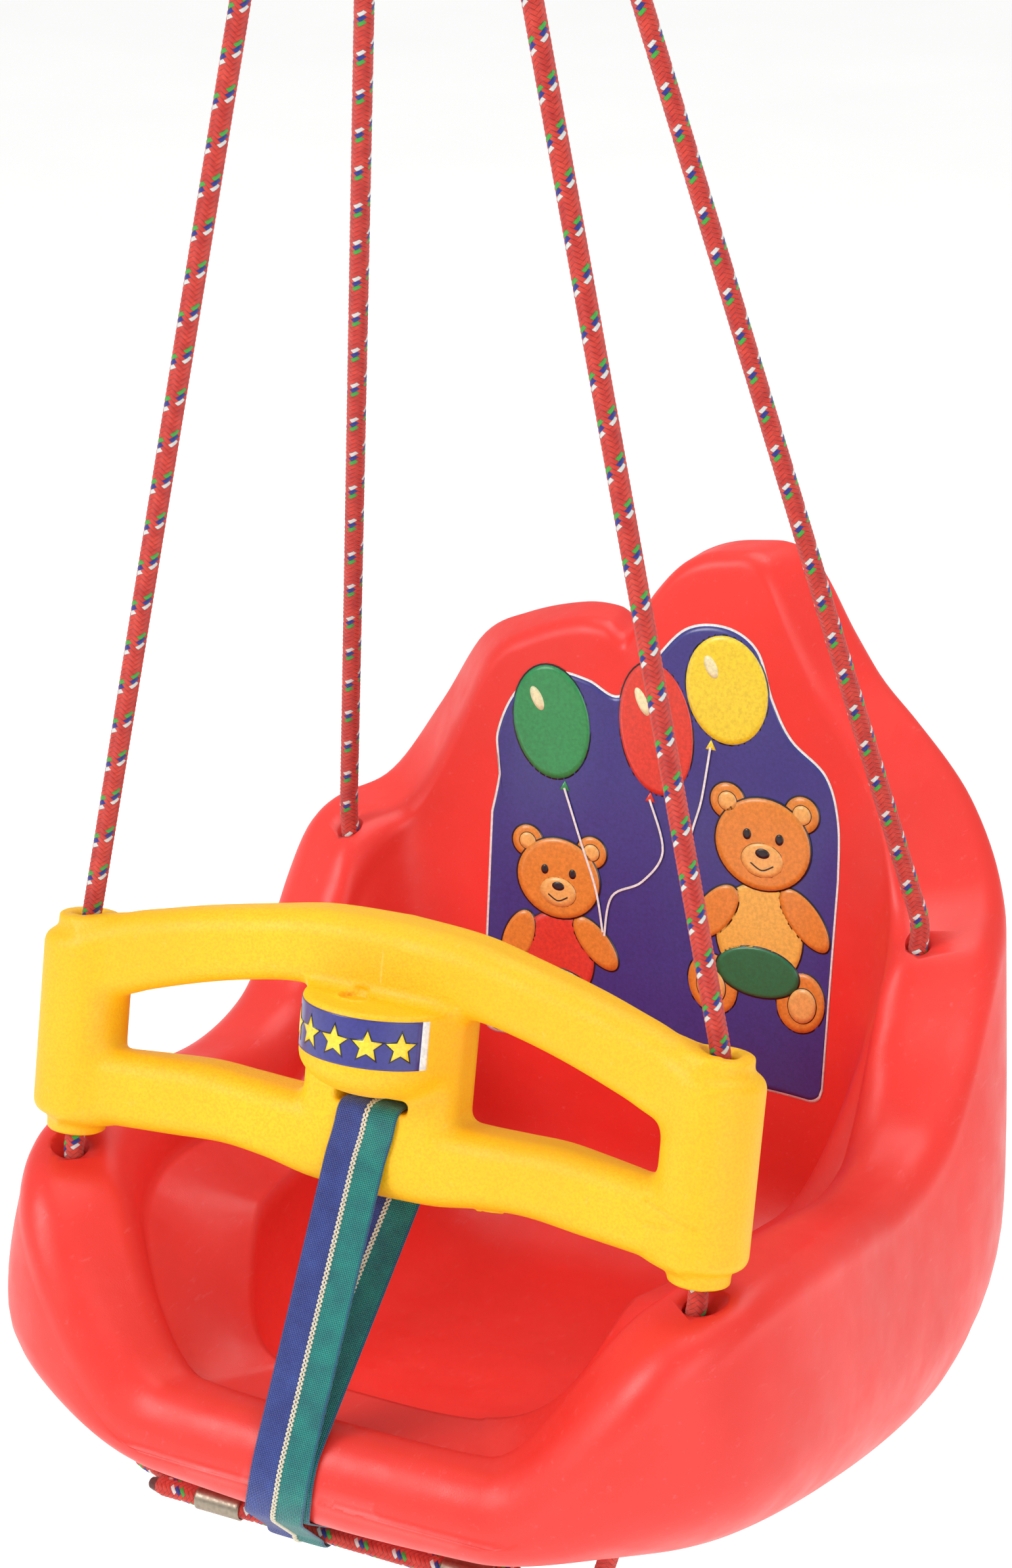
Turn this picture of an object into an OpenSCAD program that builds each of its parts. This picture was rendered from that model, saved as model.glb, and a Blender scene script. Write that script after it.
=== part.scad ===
// Toddler bucket swing: moulded seat, sliding guard bar, crotch strap and two ropes on a ring.
// The origin is the centre of the hanging ring, +Z is up and -Y is the way the child faces.

/* [Seat shell] */
// Overall width of the seat
seat_width = 446; // [430:2:460]
// Reach of the front lip ahead of the guard bar's rope line
lip_reach = 86; // [82:1:92]
// Reach of the seat's back behind the guard bar's rope line
back_reach = 338; // [330:2:346]
// Height of the pan's front below the middle of the guard bar
pan_drop = 192; // [188:1:196]
// Height of the front lip's crest below the middle of the guard bar
lip_drop = 153; // [150:1:158]
// Thickness of the moulded skin
skin = 2.4; // [2:0.2:3]
// Backward lean of the backrest, as rise over run
back_lean = 0.04; // [0.02:0.01:0.06]

/* [Guard bar] */
// Distance between the two rope lines through the guard bar
rope_spacing = 350; // [346:1:354]
// Lean of the bar's end sleeves, in degrees
sleeve_lean = 11.6; // [10:0.1:13]
// Length of each end sleeve with its necks
sleeve_length = 112; // [108:1:114]
// Outer radius of each end sleeve
sleeve_radius = 22; // [20:0.5:24]
// How far the middle of the bar bows back towards the child
bar_bow = 10; // [4:1:14]
// Radius of the bowl-shaped hub in the middle of the bar
hub_radius = 39; // [37:0.5:40]

/* [Ropes and strap] */
// Diameter of the braided rope
rope_diameter = 10.2; // [9.6:0.2:10.4]
// Height of the hanging ring above the middle of the guard bar
hang_height = 934; // [900:1:1000]
// Width of the crotch strap
strap_width = 33; // [30:1:36]
// Thickness of the crotch strap
strap_thickness = 1.6; // [1.2:0.1:2]

/* [Ring and clips] */
// Mean radius of the hanging ring
ring_radius = 24; // [22:1:28]
// Radius of the ring's wire
wire_radius = 4; // [3.5:0.1:4]
// Length of each crimped rope clip
clip_length = 26; // [22:1:28]

/* [Hidden] */
$fn = 48;

// ---- general functions ----
function unit(v) = v / norm(v);
function mix(a, b, t) = a + (b - a) * t;
function clamp01(t) = min(1, max(0, t));
function ease(a, b, x) = let (t = clamp01((x - a) / (b - a))) t * t * (3 - 2 * t);

// Slope of a smooth curve at point i of a table of [position, value] pairs
function slope_at(table, i) =
    let (a = table[max(0, i - 1)], b = table[min(len(table) - 1, i + 1)])
    (b[1] - a[1]) / (b[0] - a[0]);
function segment_of(table, x, i = 0) =
    i >= len(table) - 2 || x < table[i + 1][0] ? i : segment_of(table, x, i + 1);
// Smooth curve through the table's points
function curve(table, x) =
    let (i = segment_of(table, x), a = table[i], b = table[i + 1], h = b[0] - a[0],
         t = clamp01((x - a[0]) / h), m = slope_at(table, i), n = slope_at(table, i + 1))
    (2 * t^3 - 3 * t^2 + 1) * a[1] + (t^3 - 2 * t^2 + t) * h * m
    + (3 * t^2 - 2 * t^3) * b[1] + (t^3 - t^2) * h * n;

// Closed skin over rows of points that all have the same count, with flat end caps.
// Seen along the way from the first row to the last, each row runs anticlockwise.
module lofted(rows) {
    n = len(rows[0]);
    last = len(rows) - 1;
    sides = [for (j = [0:last - 1], i = [0:n - 1])
        [j * n + i, j * n + (i + 1) % n, (j + 1) * n + (i + 1) % n, (j + 1) * n + i]];
    first_cap = [for (i = [n - 1:-1:0]) i];
    last_cap = [for (i = [0:n - 1]) last * n + i];
    polyhedron([for (row = rows) each row], concat([first_cap], sides, [last_cap]), convexity = 6);
}

// Straight round bar between two points
module rod(a, b, r) {
    d = b - a;
    translate(a) rotate([0, acos(d[2] / norm(d)), atan2(d[1], d[0])]) cylinder(h = norm(d), r = r);
}

// ---- places, in the seat's frame: its origin is the middle of the guard bar ----
ring_centre = [0, 29, hang_height];
rope_radius = rope_diameter / 2;
half_spacing = rope_spacing / 2;
lean_slope = tan(sleeve_lean);
sleeve_half = sleeve_length / 2;
bore_radius = rope_radius + 2;
// Rope holes: where each rope enters the top of the seat, and where it leaves the underside
front_hole_in = [half_spacing + 1, -14, -67];
front_hole_out = [132, -31, -224];
rear_hole_in = [171, 260, 21];
rear_hole_out = [138, 236, -282];

module hung() { translate(-ring_centre) children(); }

// ---- seat shell ----
// The shell is a bowl. Each ring of it is a rounded outline about the bowl's axis:
// [half width, front, back, front squareness, back squareness, widening towards the back]
bowl_y = 130;
half_width = seat_width / 2;
pan_ring = [70, 34, 228, 3, 3, 0.12];
foot_ring = [120, -14, 286, 3.4, 6.5, 0.2];
rim_inner_ring = [158, 38 - lip_reach, 291, 3.8, 6, 0];
rim_outer_ring = [half_width - 11, -lip_reach, back_reach - 5, 4.4, 6.5, 0];
belly_ring = [half_width, -lip_reach, back_reach, 4.4, 5.2, 0];
base_ring = [118, -44, back_reach - 44, 2.6, 5.5, 0.72];

// Height of the arm's crest along the side, as [y, z]
arm_crest = [[-90, -112], [-50, -84], [-12, -66], [30, -60], [90, -68], [150, -78], [195, -70],
             [222, -44], [240, -16], [256, 6], [275, 15], [310, 18]];
// Height of the backrest's two-lobed crest across the back, as [x, z]
back_crest = [[-225, 2], [-192, 12], [-172, 22], [-146, 66], [-124, 107], [-98, 124], [-63, 136],
              [-42, 137], [-27, 132], [-13, 155], [9, 177], [39, 187], [65, 184], [89, 147],
              [105, 124], [125, 104], [150, 78], [171, 50], [190, 22], [225, 2]];
// The rim's far edge, which shows its outline, is this much wider than its middle line
crest_spread = 1.05;
// Height of the underside and of its rounded corner from front to back, as [y, value]
underside = [[-66, -212], [20, -232], [120, -252], [220, -262], [320, -266]];
corner_height = [[-66, 30], [-30, 90], [20, 116], [120, 108], [220, 116], [320, 140]];
pan_fall = 24;
pan_centre_z = -207;
base_centre_z = -240;
// Roll and fillet sizes at the front, side and back
foot_fillet = [30, 84, 60];
inner_roll = [14, 24, 10];
inner_roll_height = [20, 36, 10];
outer_roll = [22, 18, 14];
outer_roll_height = [30, 16, 14];

function grown(ring, d) = [ring[0] + d, ring[1] - d, ring[2] + d, ring[3], ring[4], ring[5]];
function ring_point(ring, a) =
    let (back = sin(a) > 0, reach = back ? ring[2] - bowl_y : bowl_y - ring[1],
         n = back ? ring[4] : ring[3],
         r = pow(pow(abs(cos(a)) / ring[0], n) + pow(abs(sin(a)) / reach, n), -1 / n))
    [r * cos(a) * (1 + ring[5] * r * sin(a) / 200), bowl_y + r * sin(a)];
// Moves a plan point away from the bowl's axis
function pushed(p, d) = p + unit(p - [0, bowl_y]) * d;

// Everything about the wall's section at angle a, with the skin's inside face when inset > 0.
// The hollow stays well below the rolled rim, where the skin is thickest.
function section(a, inset) =
    let (rim_in = ring_point(grown(rim_inner_ring, 3 * inset), a),
         rim_out = ring_point(grown(rim_outer_ring, -inset), a),
         crest = (ring_point(rim_inner_ring, a) + ring_point(rim_outer_ring, a)) / 2,
         front = ease(20, -70, crest[1]), back = ease(240, 300, crest[1]), side = 1 - front - back,
         weights = [front, side, back],
         foot = ring_point(grown(foot_ring, inset), a),
         pan_z = -pan_drop - pan_fall * clamp01((foot[1] + 14) / 300) - inset,
         upper = mix(curve(arm_crest, crest[1]), curve(back_crest, crest[0] * crest_spread),
                     ease(262, 306, crest[1])),
         lip = crest[1] < bowl_y ? ease(165, 88, abs(crest[0])) : 0,
         crest_z = mix(upper, -lip_drop, lip) - 3.5 * inset,
         base_z = curve(underside, crest[1]) + inset,
         shrink = inset > 0 ? 0.7 : 1)
    [foot, rim_in, rim_out, ring_point(grown(belly_ring, -inset), a), pan_z, crest_z, base_z,
     min(foot_fillet * weights, (crest_z - pan_z) * 0.75),
     inner_roll * weights * shrink, min(inner_roll_height * weights, (crest_z - pan_z) * 0.25),
     outer_roll * weights * shrink, min(outer_roll_height * weights, (crest_z - base_z) * 0.5),
     min(curve(corner_height, crest[1]), (crest_z - base_z) * 0.5), back, a, inset];

// Point of the skin in zone 0 to 7, t of the way through it
function skin_point(s, zone, t) =
    let (foot = s[0], rim_in = s[1], rim_out = s[2], belly = s[3], pan_z = s[4], crest_z = s[5],
         base_z = s[6], pan = ring_point(pan_ring, s[14]), base = ring_point(base_ring, s[14]),
         wall_top = crest_z - s[9], side_top = crest_z - s[11], side_foot = base_z + s[12],
         axis = [0, bowl_y], q = 90 * t, z_in = pan_centre_z - s[15], z_out = base_centre_z + s[15],
         p = zone == 0 ? [mix(axis, pan, t), mix(z_in, pan_z, t)]
           : zone == 1 ? [mix(foot, pan, 1 - sin(q)), pan_z + s[7] * (1 - cos(q))]
           : zone == 2 ? [mix(foot, rim_in, t), mix(pan_z + s[7], wall_top, t)]
           : zone == 3 ? [pushed(rim_in, s[8] * (1 - cos(q))), wall_top + s[9] * sin(q)]
           : zone == 4 ? [pushed(rim_out, -s[10] * (1 - sin(q))), crest_z - s[11] * (1 - cos(q))]
           : zone == 5 ? [mix(rim_out, belly, sin(q)), mix(side_top, side_foot, t)]
           : zone == 6 ? [mix(belly, base, 1 - cos(q)), side_foot - s[12] * sin(q)]
           : [mix(base, axis, t), mix(base_z, z_out, t)],
         lean = back_lean * max(0, p[1] - pan_z) * s[13])
    [p[0][0], p[0][1] + lean, p[1]];

// Steps across the wall, as [zone, t]: pan, fillet, inner wall, rolled rim, side, corner, underside
outer_steps = concat([for (t = [0.02, 0.4, 0.75, 1]) [0, t]], [for (k = [1:4]) [1, k / 4]],
                     [[2, 0.5], [2, 1]], [for (k = [1:3]) [3, k / 3]], [for (k = [0:3]) [4, k / 3]],
                     [[5, 0.35], [5, 0.7], [5, 1]], [for (k = [1:5]) [6, k / 5]],
                     [[7, 0.3], [7, 0.65], [7, 0.98]]);
cavity_steps = concat([for (t = [0.02, 0.4, 0.75, 1]) [0, t]], [for (k = [1:4]) [1, k / 4]],
                      [[2, 1], [3, 0.5], [3, 1], [4, 0], [4, 0.5], [4, 1], [5, 1]],
                      [for (k = [1:3]) [6, k / 3]], [[7, 0.5], [7, 0.98]]);

module skin_body(steps, inset) {
    count = 80;
    sections = [for (i = [0:count - 1]) section(360 * i / count - 90, inset)];
    lofted([for (step = steps) [for (s = sections) skin_point(s, step[0], step[1])]]);
}

module seat_shell() {
    channel = rope_radius + 2.4;
    color("crimson") hung() difference() {
        skin_body(outer_steps, 0);
        skin_body(cavity_steps, skin);
        for (side = [-1, 1]) {
            rope_channel(side, front_hole_in, front_hole_out, channel);
            rope_channel(side, rear_hole_in, rear_hole_out, channel);
        }
    }
}

module rope_channel(side, top, bottom, r) {
    mirrored = [side, 1, 1];
    a = [for (k = [0:2]) top[k] * mirrored[k]];
    b = [for (k = [0:2]) bottom[k] * mirrored[k]];
    rod(a + 20 * unit(a - b), b + 20 * unit(b - a), r);
}

// ---- guard bar, drawn upright and then leaned ----
// Edges of the top rail and the lower rail, as [distance from the middle, z]
top_edge = [[0, 87], [42, 85], [71, 80], [109, 72.5], [132, 67], [146, 63.5], [175, 54]];
window_top = [[0, 47], [50, 46.5], [73, 43], [100, 36.5], [132, 26.5], [146, 21], [175, 12]];
window_bottom = [[0, -7], [50, -7.5], [74, -6.4], [98, -5], [122, -6.2], [150, -8], [175, -9]];
bottom_edge = [[0, -51], [35, -49.2], [60, -45], [85, -43], [115, -45], [146, -47], [175, -49]];
middle_front = -15;
middle_back = 22;
web_half = 42;
hub_y = -10;
hub_bottom = 2;
hub_waist = 22;
hub_top = 50.5;
slot_half = 20;
slot_bottom = -5;

// The rails are deepest in the middle of the bar and thin down towards the sleeves
function along_bar(x) = pow(x / half_spacing, 2);
function rail_middle(x) = (middle_front + middle_back) / 2 - bar_bow * 1.2 * along_bar(x);
function rail_half(x) = (middle_back - middle_front) / 2 - 7.5 * along_bar(x);
function rail_section(x, bottom, top) =
    [for (a = [340:-20:0]) let (c = cos(a), s = sin(a))
        [x, rail_middle(x) + rail_half(x) * sign(c) * pow(abs(c), 0.75),
         (top + bottom) / 2 + (top - bottom) / 2 * sign(s) * pow(abs(s), 0.75)]];

module rail(low, high) {
    reach = half_spacing - 6;
    lofted([for (k = [-14:14]) let (x = reach * k / 14)
        rail_section(x, curve(low, abs(x)), curve(high, abs(x)))]);
}

// Upright wall between the rails, behind the hub
module web() {
    bottom = -22;
    top = 68;
    corner = 11;
    translate([0, 0, bottom]) linear_extrude(top - bottom) union() {
        translate([-web_half, middle_front + corner])
            square([2 * web_half, middle_back - middle_front - 2 * corner]);
        translate([corner - web_half, middle_front])
            square([2 * (web_half - corner), middle_back - middle_front]);
        for (x = [corner - web_half, web_half - corner], y = [middle_front + corner, middle_back - corner])
            translate([x, y]) circle(r = corner);
    }
}

module hub() {
    edge = 2;
    bowl = [for (a = [0:10:90]) [hub_radius * sin(a), hub_waist - (hub_waist - hub_bottom) * cos(a)]];
    translate([0, hub_y, 0]) rotate_extrude()
        polygon(concat(bowl, [[hub_radius, hub_top - edge], [hub_radius - edge, hub_top], [0, hub_top]]));
}

module sleeve() {
    neck = sleeve_radius - 6;
    body = sleeve_half - 9;
    translate([0, 0, -body]) cylinder(h = 2 * body, r = sleeve_radius);
    translate([0, 0, -sleeve_half]) cylinder(h = 2 * sleeve_half, r = neck);
}

module guard_bar() {
    mark_radius = 8.5;
    mark_depth = 1.5;
    color("gold") hung() rotate([-sleeve_lean, 0, 0]) difference() {
        union() {
            rail(window_top, top_edge);
            rail(bottom_edge, window_bottom);
            web();
            hub();
            for (side = [-1, 1]) translate([side * half_spacing, 0, 0]) sleeve();
        }
        for (side = [-1, 1]) translate([side * half_spacing, 0, -sleeve_half - 1])
            cylinder(h = sleeve_length + 2, r = bore_radius);
        translate([-slot_half, -100, slot_bottom]) cube([2 * slot_half, 200, hub_bottom - slot_bottom]);
        translate([-9, hub_y - 13, hub_top - mark_depth]) cylinder(h = mark_depth + 1, r = mark_radius);
    }
}

// ---- ropes ----
bight_x = 6.6;
bight_radius = wire_radius + rope_radius + 0.9;
bight_z = ring_centre[2] - sqrt(ring_radius^2 - bight_x^2);
// The ring clip holds a rope's two legs side by side below the ring
ring_clip_z = bight_z - 38;
pair_half = rope_radius + 0.2;
run_front = [-38, -229];
run_rear = [236, -285];
// How far each rope's cut end lies past the middle, on the other rope's side
long_tail = 118;
short_tail = 94;

function mirror_x(p, side) = [p[0] * side, p[1], p[2]];
// Path with each inner corner replaced by a short curve
function rounded(path, reach) =
    [for (i = [0:len(path) - 1]) each
        i == 0 || i == len(path) - 1 ? [path[i]]
        : let (p = path[i], a = path[i - 1] - p, b = path[i + 1] - p,
               from = p + unit(a) * min(reach, norm(a) * 0.45),
               to = p + unit(b) * min(reach, norm(b) * 0.45))
          [for (t = [0:0.25:1]) mix(mix(from, p, t), mix(p, to, t), t)]];
function bight(side) =
    [for (a = [0:22.5:180]) [side * bight_x, ring_centre[1] - bight_radius * cos(a),
                             bight_z + bight_radius * sin(a)]];
// Half of a run under the seat: from the rope's cut end to the hole in the underside.
// The two ropes lie side by side, one in front of the other.
function under_run(side, run, hole, tail) =
    let (y = run[0] - side * pair_half, z = run[1])
    [[-side * tail, y, z], [side * (hole[0] - 28), y, z], mirror_x(hole, side) + [0, 0, -1]];
function rope_path(side) =
    let (y = ring_centre[1], x = side * bight_x, clip_reach = clip_length / 2 + 8,
         clip_top = ring_clip_z + clip_reach, clip_bottom = ring_clip_z - clip_reach,
         front_tail = side > 0 ? long_tail : short_tail)
    concat(
        rounded(concat(
            under_run(side, run_front, front_hole_out, front_tail), [mirror_x(front_hole_in, side)],
            [[side * half_spacing, -lean_slope * sleeve_half, -sleeve_half]],
            [[side * half_spacing, lean_slope * sleeve_half, sleeve_half - 2]],
            [[x, y - pair_half, clip_bottom], [x, y - pair_half, clip_top],
             [x, y - bight_radius, bight_z - 2]]), 9),
        bight(side),
        rounded(concat(
            [[x, y + bight_radius, bight_z - 2], [x, y + pair_half, clip_top],
             [x, y + pair_half, clip_bottom]],
            [mirror_x(rear_hole_in, side)],
            reverse(under_run(side, run_rear, rear_hole_out, short_tail))), 9));
function reverse(list) = [for (i = [len(list) - 1:-1:0]) list[i]];

// Round tube of the rope's radius along a path
function tube_ring(path, i) =
    let (last = len(path) - 1, reference = unit([1, 1, 1]),
         ahead = unit(path[min(i, last - 1) + 1] - path[min(i, last - 1)]),
         behind = unit(path[max(i, 1)] - path[max(i, 1) - 1]),
         along = unit(ahead + behind), u = unit(cross(along, reference)), v = cross(along, u))
    [for (a = [330:-30:0]) path[i] + rope_radius * (cos(a) * u + sin(a) * v)];
module rope(side) {
    path = rope_path(side);
    lofted([for (i = [0:len(path) - 1]) tube_ring(path, i)]);
}

module left_rope() { color("red") hung() rope(-1); }
module right_rope() { color("red") hung() rope(1); }

// ---- metal pieces ----
// Crimped band round two ropes that lie side by side along Y, with its length along Z
module clip() {
    wall = 1.1;
    linear_extrude(clip_length, center = true) difference() {
        pair_outline(rope_radius + 0.15 + wall);
        pair_outline(rope_radius + 0.15);
    }
}

module pair_outline(r) {
    square([2 * r, 2 * pair_half], center = true);
    for (side = [-1, 1]) translate([0, side * pair_half]) circle(r = r);
}

module ring_clips() {
    color("silver") hung() for (side = [-1, 1])
        translate([side * bight_x, ring_centre[1], ring_clip_z]) clip();
}

// Places of the two clips on each run under the seat
clip_x = [-75, 67];
module under_clips(run) {
    for (x = clip_x) translate([x, run[0], run[1]]) rotate([0, 90, 0]) clip();
}
module front_rope_clips() { color("silver") hung() under_clips(run_front); }
module rear_rope_clips() { color("silver") hung() under_clips(run_rear); }

module hanging_ring() {
    color("silver") hung() translate(ring_centre) rotate([90, 0, 0])
        rotate_extrude() translate([ring_radius, 0]) circle(r = wire_radius);
}

// ---- crotch strap ----
// A closed loop in the middle plane, as [y, z]: over the lower rail, down over the lip and
// round the front rope run, and back up behind the rail
strap_gap = 0.7;
function lean_point(y, z) = [y * cos(sleeve_lean) + z * sin(sleeve_lean),
                             z * cos(sleeve_lean) - y * sin(sleeve_lean)];
// Point on the strap's way over the lip's outer roll, d off the surface and q degrees round it
function lip_point(q, d) =
    [outer_roll[0] - lip_reach - (outer_roll[0] + d) * sin(q),
     -lip_drop - outer_roll_height[0] + (outer_roll_height[0] + d) * cos(q)];
// Points round a rope of the front run, from angle a to angle b
function round_rope(y, a, b) =
    let (r = (rope_radius + strap_gap) / cos(15))
    [for (k = [0:3]) let (q = mix(a, b, k / 3)) [y + r * cos(q), run_front[1] + r * sin(q)]];

module crotch_strap() {
    chamfer = 1.1;
    front = middle_front - strap_gap;
    back = middle_back + strap_gap;
    over = slot_bottom + strap_gap;
    on_lip = strap_gap + strap_thickness;
    over_lip = on_lip + 0.4;
    front_rope = run_front[0] - pair_half;
    rear_rope = run_front[0] + pair_half;
    down = concat([lean_point(front, over - chamfer), lean_point(front, -30)],
                  [for (q = [58:11.5:115.5]) lip_point(q, over_lip)],
                  round_rope(front_rope, 180, 270), round_rope(rear_rope, 270, 450));
    up = concat(round_rope(front_rope, 90, 120), [for (q = [115:-12:43]) lip_point(q, on_lip)],
                [lean_point(back, -42), lean_point(back, over - chamfer),
                 lean_point(back - chamfer, over), lean_point(front + chamfer, over)]);
    color("royalblue") hung() strap_loop(concat(down, up));
}

// Band of the strap's thickness round the outside of a closed path
module strap_loop(path) {
    n = len(path);
    rotate([90, 0, 90]) linear_extrude(strap_width, center = true) difference() {
        polygon([for (i = [0:n - 1]) path[i] + strap_thickness * outward(path, i)]);
        polygon(path);
    }
}

function outward(path, i) =
    let (n = len(path), d = unit(path[(i + 1) % n] - path[(i + n - 1) % n])) [d[1], -d[0]];

// ---- decals ----
// Top outline of the back decal, as [x, z] from its left edge to its right edge
decal_top = [[-101, 20], [-97, 45], [-99, 66], [-88, 92], [-66, 106], [-45, 105], [-26, 99], [-9, 119],
             [12, 143], [36, 148], [55, 138], [65, 112], [77, 92], [98, 76], [107, 52], [109, 20]];
decal_bottom_z = -110;
decal_bottom_left = -103;
decal_bottom_right = 106;

// Point of the seat's inner wall at a given x and z, found by turning angle a to match x
function wall_at(x, z, a, tries = 4) =
    let (s = section(a, 0), low = s[4] + s[7], high = s[5] - s[9],
         p = mix(s[0], s[1], clamp01((z - low) / (high - low))))
    tries == 0 ? [x, p[1] + back_lean * (z - s[4]) * s[13], z]
    : wall_at(x, z, a + (p[0] - x) / (p[1] - bowl_y) * 180 / PI, tries - 1);

module back_decal() {
    gap = 1.8;
    thickness = 0.5;
    levels = 8;
    count = len(decal_top);
    color("navy") hung() lofted([for (i = [0:count - 1])
        let (top = decal_top[i], bottom = [mix(decal_bottom_left, decal_bottom_right, i / (count - 1)), decal_bottom_z],
             face = [for (k = [0:levels]) let (p = mix(bottom, top, k / levels))
                 wall_at(p[0], p[1], 90 - p[0] / 3)])
        concat([for (p = face) p - [0, gap + thickness, 0]],
               [for (p = reverse(face)) p - [0, gap, 0]])]);
}

module hub_decal() {
    thickness = 0.4;
    gap = 0.1;
    band_bottom = 24;
    band_height = 24;
    reach = 64;
    color("navy") hung() rotate([-sleeve_lean, 0, 0]) translate([0, hub_y, band_bottom])
        difference() {
            cylinder(h = band_height, r = hub_radius + gap + thickness);
            translate([0, 0, -1]) cylinder(h = band_height + 2, r = hub_radius + gap);
            translate([-100, -hub_radius * cos(reach), -1]) cube([200, 200, band_height + 2]);
        }
}

seat_shell();
guard_bar();
left_rope();
right_rope();
ring_clips();
front_rope_clips();
rear_rope_clips();
hanging_ring();
crotch_strap();
back_decal();
hub_decal();
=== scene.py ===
"""Looks of the toddler bucket swing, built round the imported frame.

Shapes are worked out in millimetres in the seat's own frame, whose origin is the middle of the
guard bar, and are placed in the row frame, whose origin is the centre of the hanging ring.
"""
import math

import bpy
import numpy as np
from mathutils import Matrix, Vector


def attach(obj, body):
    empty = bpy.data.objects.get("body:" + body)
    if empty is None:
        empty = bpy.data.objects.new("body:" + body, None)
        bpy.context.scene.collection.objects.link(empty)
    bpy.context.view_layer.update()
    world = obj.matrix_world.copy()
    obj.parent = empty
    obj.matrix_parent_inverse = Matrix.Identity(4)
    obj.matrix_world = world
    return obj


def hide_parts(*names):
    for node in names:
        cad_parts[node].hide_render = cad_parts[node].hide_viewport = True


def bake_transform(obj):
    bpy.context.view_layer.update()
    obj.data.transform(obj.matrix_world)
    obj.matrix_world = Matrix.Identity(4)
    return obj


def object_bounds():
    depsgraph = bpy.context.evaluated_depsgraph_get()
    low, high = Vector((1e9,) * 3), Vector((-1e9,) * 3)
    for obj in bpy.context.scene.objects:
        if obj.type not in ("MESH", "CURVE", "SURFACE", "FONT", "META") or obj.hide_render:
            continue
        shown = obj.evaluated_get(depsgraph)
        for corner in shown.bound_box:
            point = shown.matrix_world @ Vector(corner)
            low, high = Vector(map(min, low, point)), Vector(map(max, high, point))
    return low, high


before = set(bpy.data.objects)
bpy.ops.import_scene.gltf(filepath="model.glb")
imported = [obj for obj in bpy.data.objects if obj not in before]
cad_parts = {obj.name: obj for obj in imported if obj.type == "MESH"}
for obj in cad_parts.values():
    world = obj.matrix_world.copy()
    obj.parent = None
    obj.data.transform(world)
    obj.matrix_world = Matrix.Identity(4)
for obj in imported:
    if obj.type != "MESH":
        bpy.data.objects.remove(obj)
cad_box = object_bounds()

import openvdb
from mathutils import Quaternion, Vector
from mathutils.bvhtree import BVHTree

MM = 0.001
RING = np.array([0.0, 29.0, 934.0])
SIDEWAYS = np.array([1.0, 0.0, 0.0])
SIDES = ((-1, "left"), (1, "right"))

# ---- driving sizes, in millimetres
HALF_WIDTH = 223.0
LIP_REACH = 86.0
BACK_REACH = 338.0
PAN_DROP = 192.0
LIP_DROP = 153.0
BACK_LEAN = 0.04
HALF_SPACING = 175.0
SLEEVE_LEAN = math.radians(11.6)
SLEEVE_HALF = 56.0
BAR_BOW = 10.0
HUB_RADIUS = 39.0
ROPE_RADIUS = 5.1
# Strands that wind each way round a rope
STRANDS = 8
BORE_RADIUS = 7.1
STRAP_HALF = 16.5
STRAP_THICKNESS = 1.6
WEAVE_PITCH = 1.9
WIRE_RADIUS = 4.0
RING_RADIUS = 24.0
CLIP_LENGTH = 26.0
CLIP_WALL = 1.1
CLIP_DENT = 6.5
FRONT_HOLE_IN = (176.0, -14.0, -67.0)
FRONT_HOLE_OUT = (132.0, -31.0, -224.0)
REAR_HOLE_IN = (171.0, 260.0, 21.0)
REAR_HOLE_OUT = (138.0, 236.0, -282.0)


# ---- general functions
def mix(a, b, t):
    return a + (b - a) * t


def ease(a, b, x):
    t = np.clip((x - a) / (b - a), 0, 1)
    return t * t * (3 - 2 * t)


def unit(v):
    v = np.asarray(v, float)
    return v / np.maximum(np.linalg.norm(v, axis=-1, keepdims=True), 1e-12)


def curve(table, x):
    """Smooth curve through a table of (position, value) pairs."""
    xs, ys = np.array(table, float).T
    x = np.clip(np.asarray(x, float), xs[0], xs[-1])
    i = np.clip(np.searchsorted(xs, x, side="right") - 1, 0, len(xs) - 2)
    k = np.arange(len(xs))
    lo, hi = np.maximum(k - 1, 0), np.minimum(k + 1, len(xs) - 1)
    slope = (ys[hi] - ys[lo]) / (xs[hi] - xs[lo])
    h = xs[i + 1] - xs[i]
    t = (x - xs[i]) / h
    return ((2 * t**3 - 3 * t**2 + 1) * ys[i] + (t**3 - 2 * t**2 + t) * h * slope[i]
            + (3 * t**2 - 2 * t**3) * ys[i + 1] + (t**3 - t**2) * h * slope[i + 1])


def place(points):
    """Seat frame in millimetres to row frame in metres."""
    return (np.asarray(points, float) - RING) * MM


def lean(points):
    """Guard bar's upright frame to the seat frame."""
    p = np.asarray(points, float)
    c, s = math.cos(SLEEVE_LEAN), math.sin(SLEEVE_LEAN)
    return np.stack([p[..., 0], p[..., 1] * c + p[..., 2] * s, p[..., 2] * c - p[..., 1] * s], -1)


def grid_faces(rows, columns, close_rows=False):
    """Quads over rows of points, each row closed on itself."""
    last = rows if close_rows else rows - 1
    i, j = np.meshgrid(np.arange(last), np.arange(columns), indexing="ij")
    a, b = i * columns, (i + 1) % rows * columns
    k = (j + 1) % columns
    return np.stack([a + j, a + k, b + k, b + j], -1).reshape(-1, 4)


def full_turn(count):
    return 2 * math.pi * np.arange(count) / count


def outward(points, quads, faces):
    """The faces, each turned over if the quads' winding encloses a negative volume."""
    points = points - points.mean(0)
    a, b, c, d = (points[quads[:, k]] for k in range(4))
    volume = (a * (np.cross(b, c) + np.cross(c, d))).sum()
    return [f[::-1] for f in faces] if volume < 0 else faces


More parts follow.
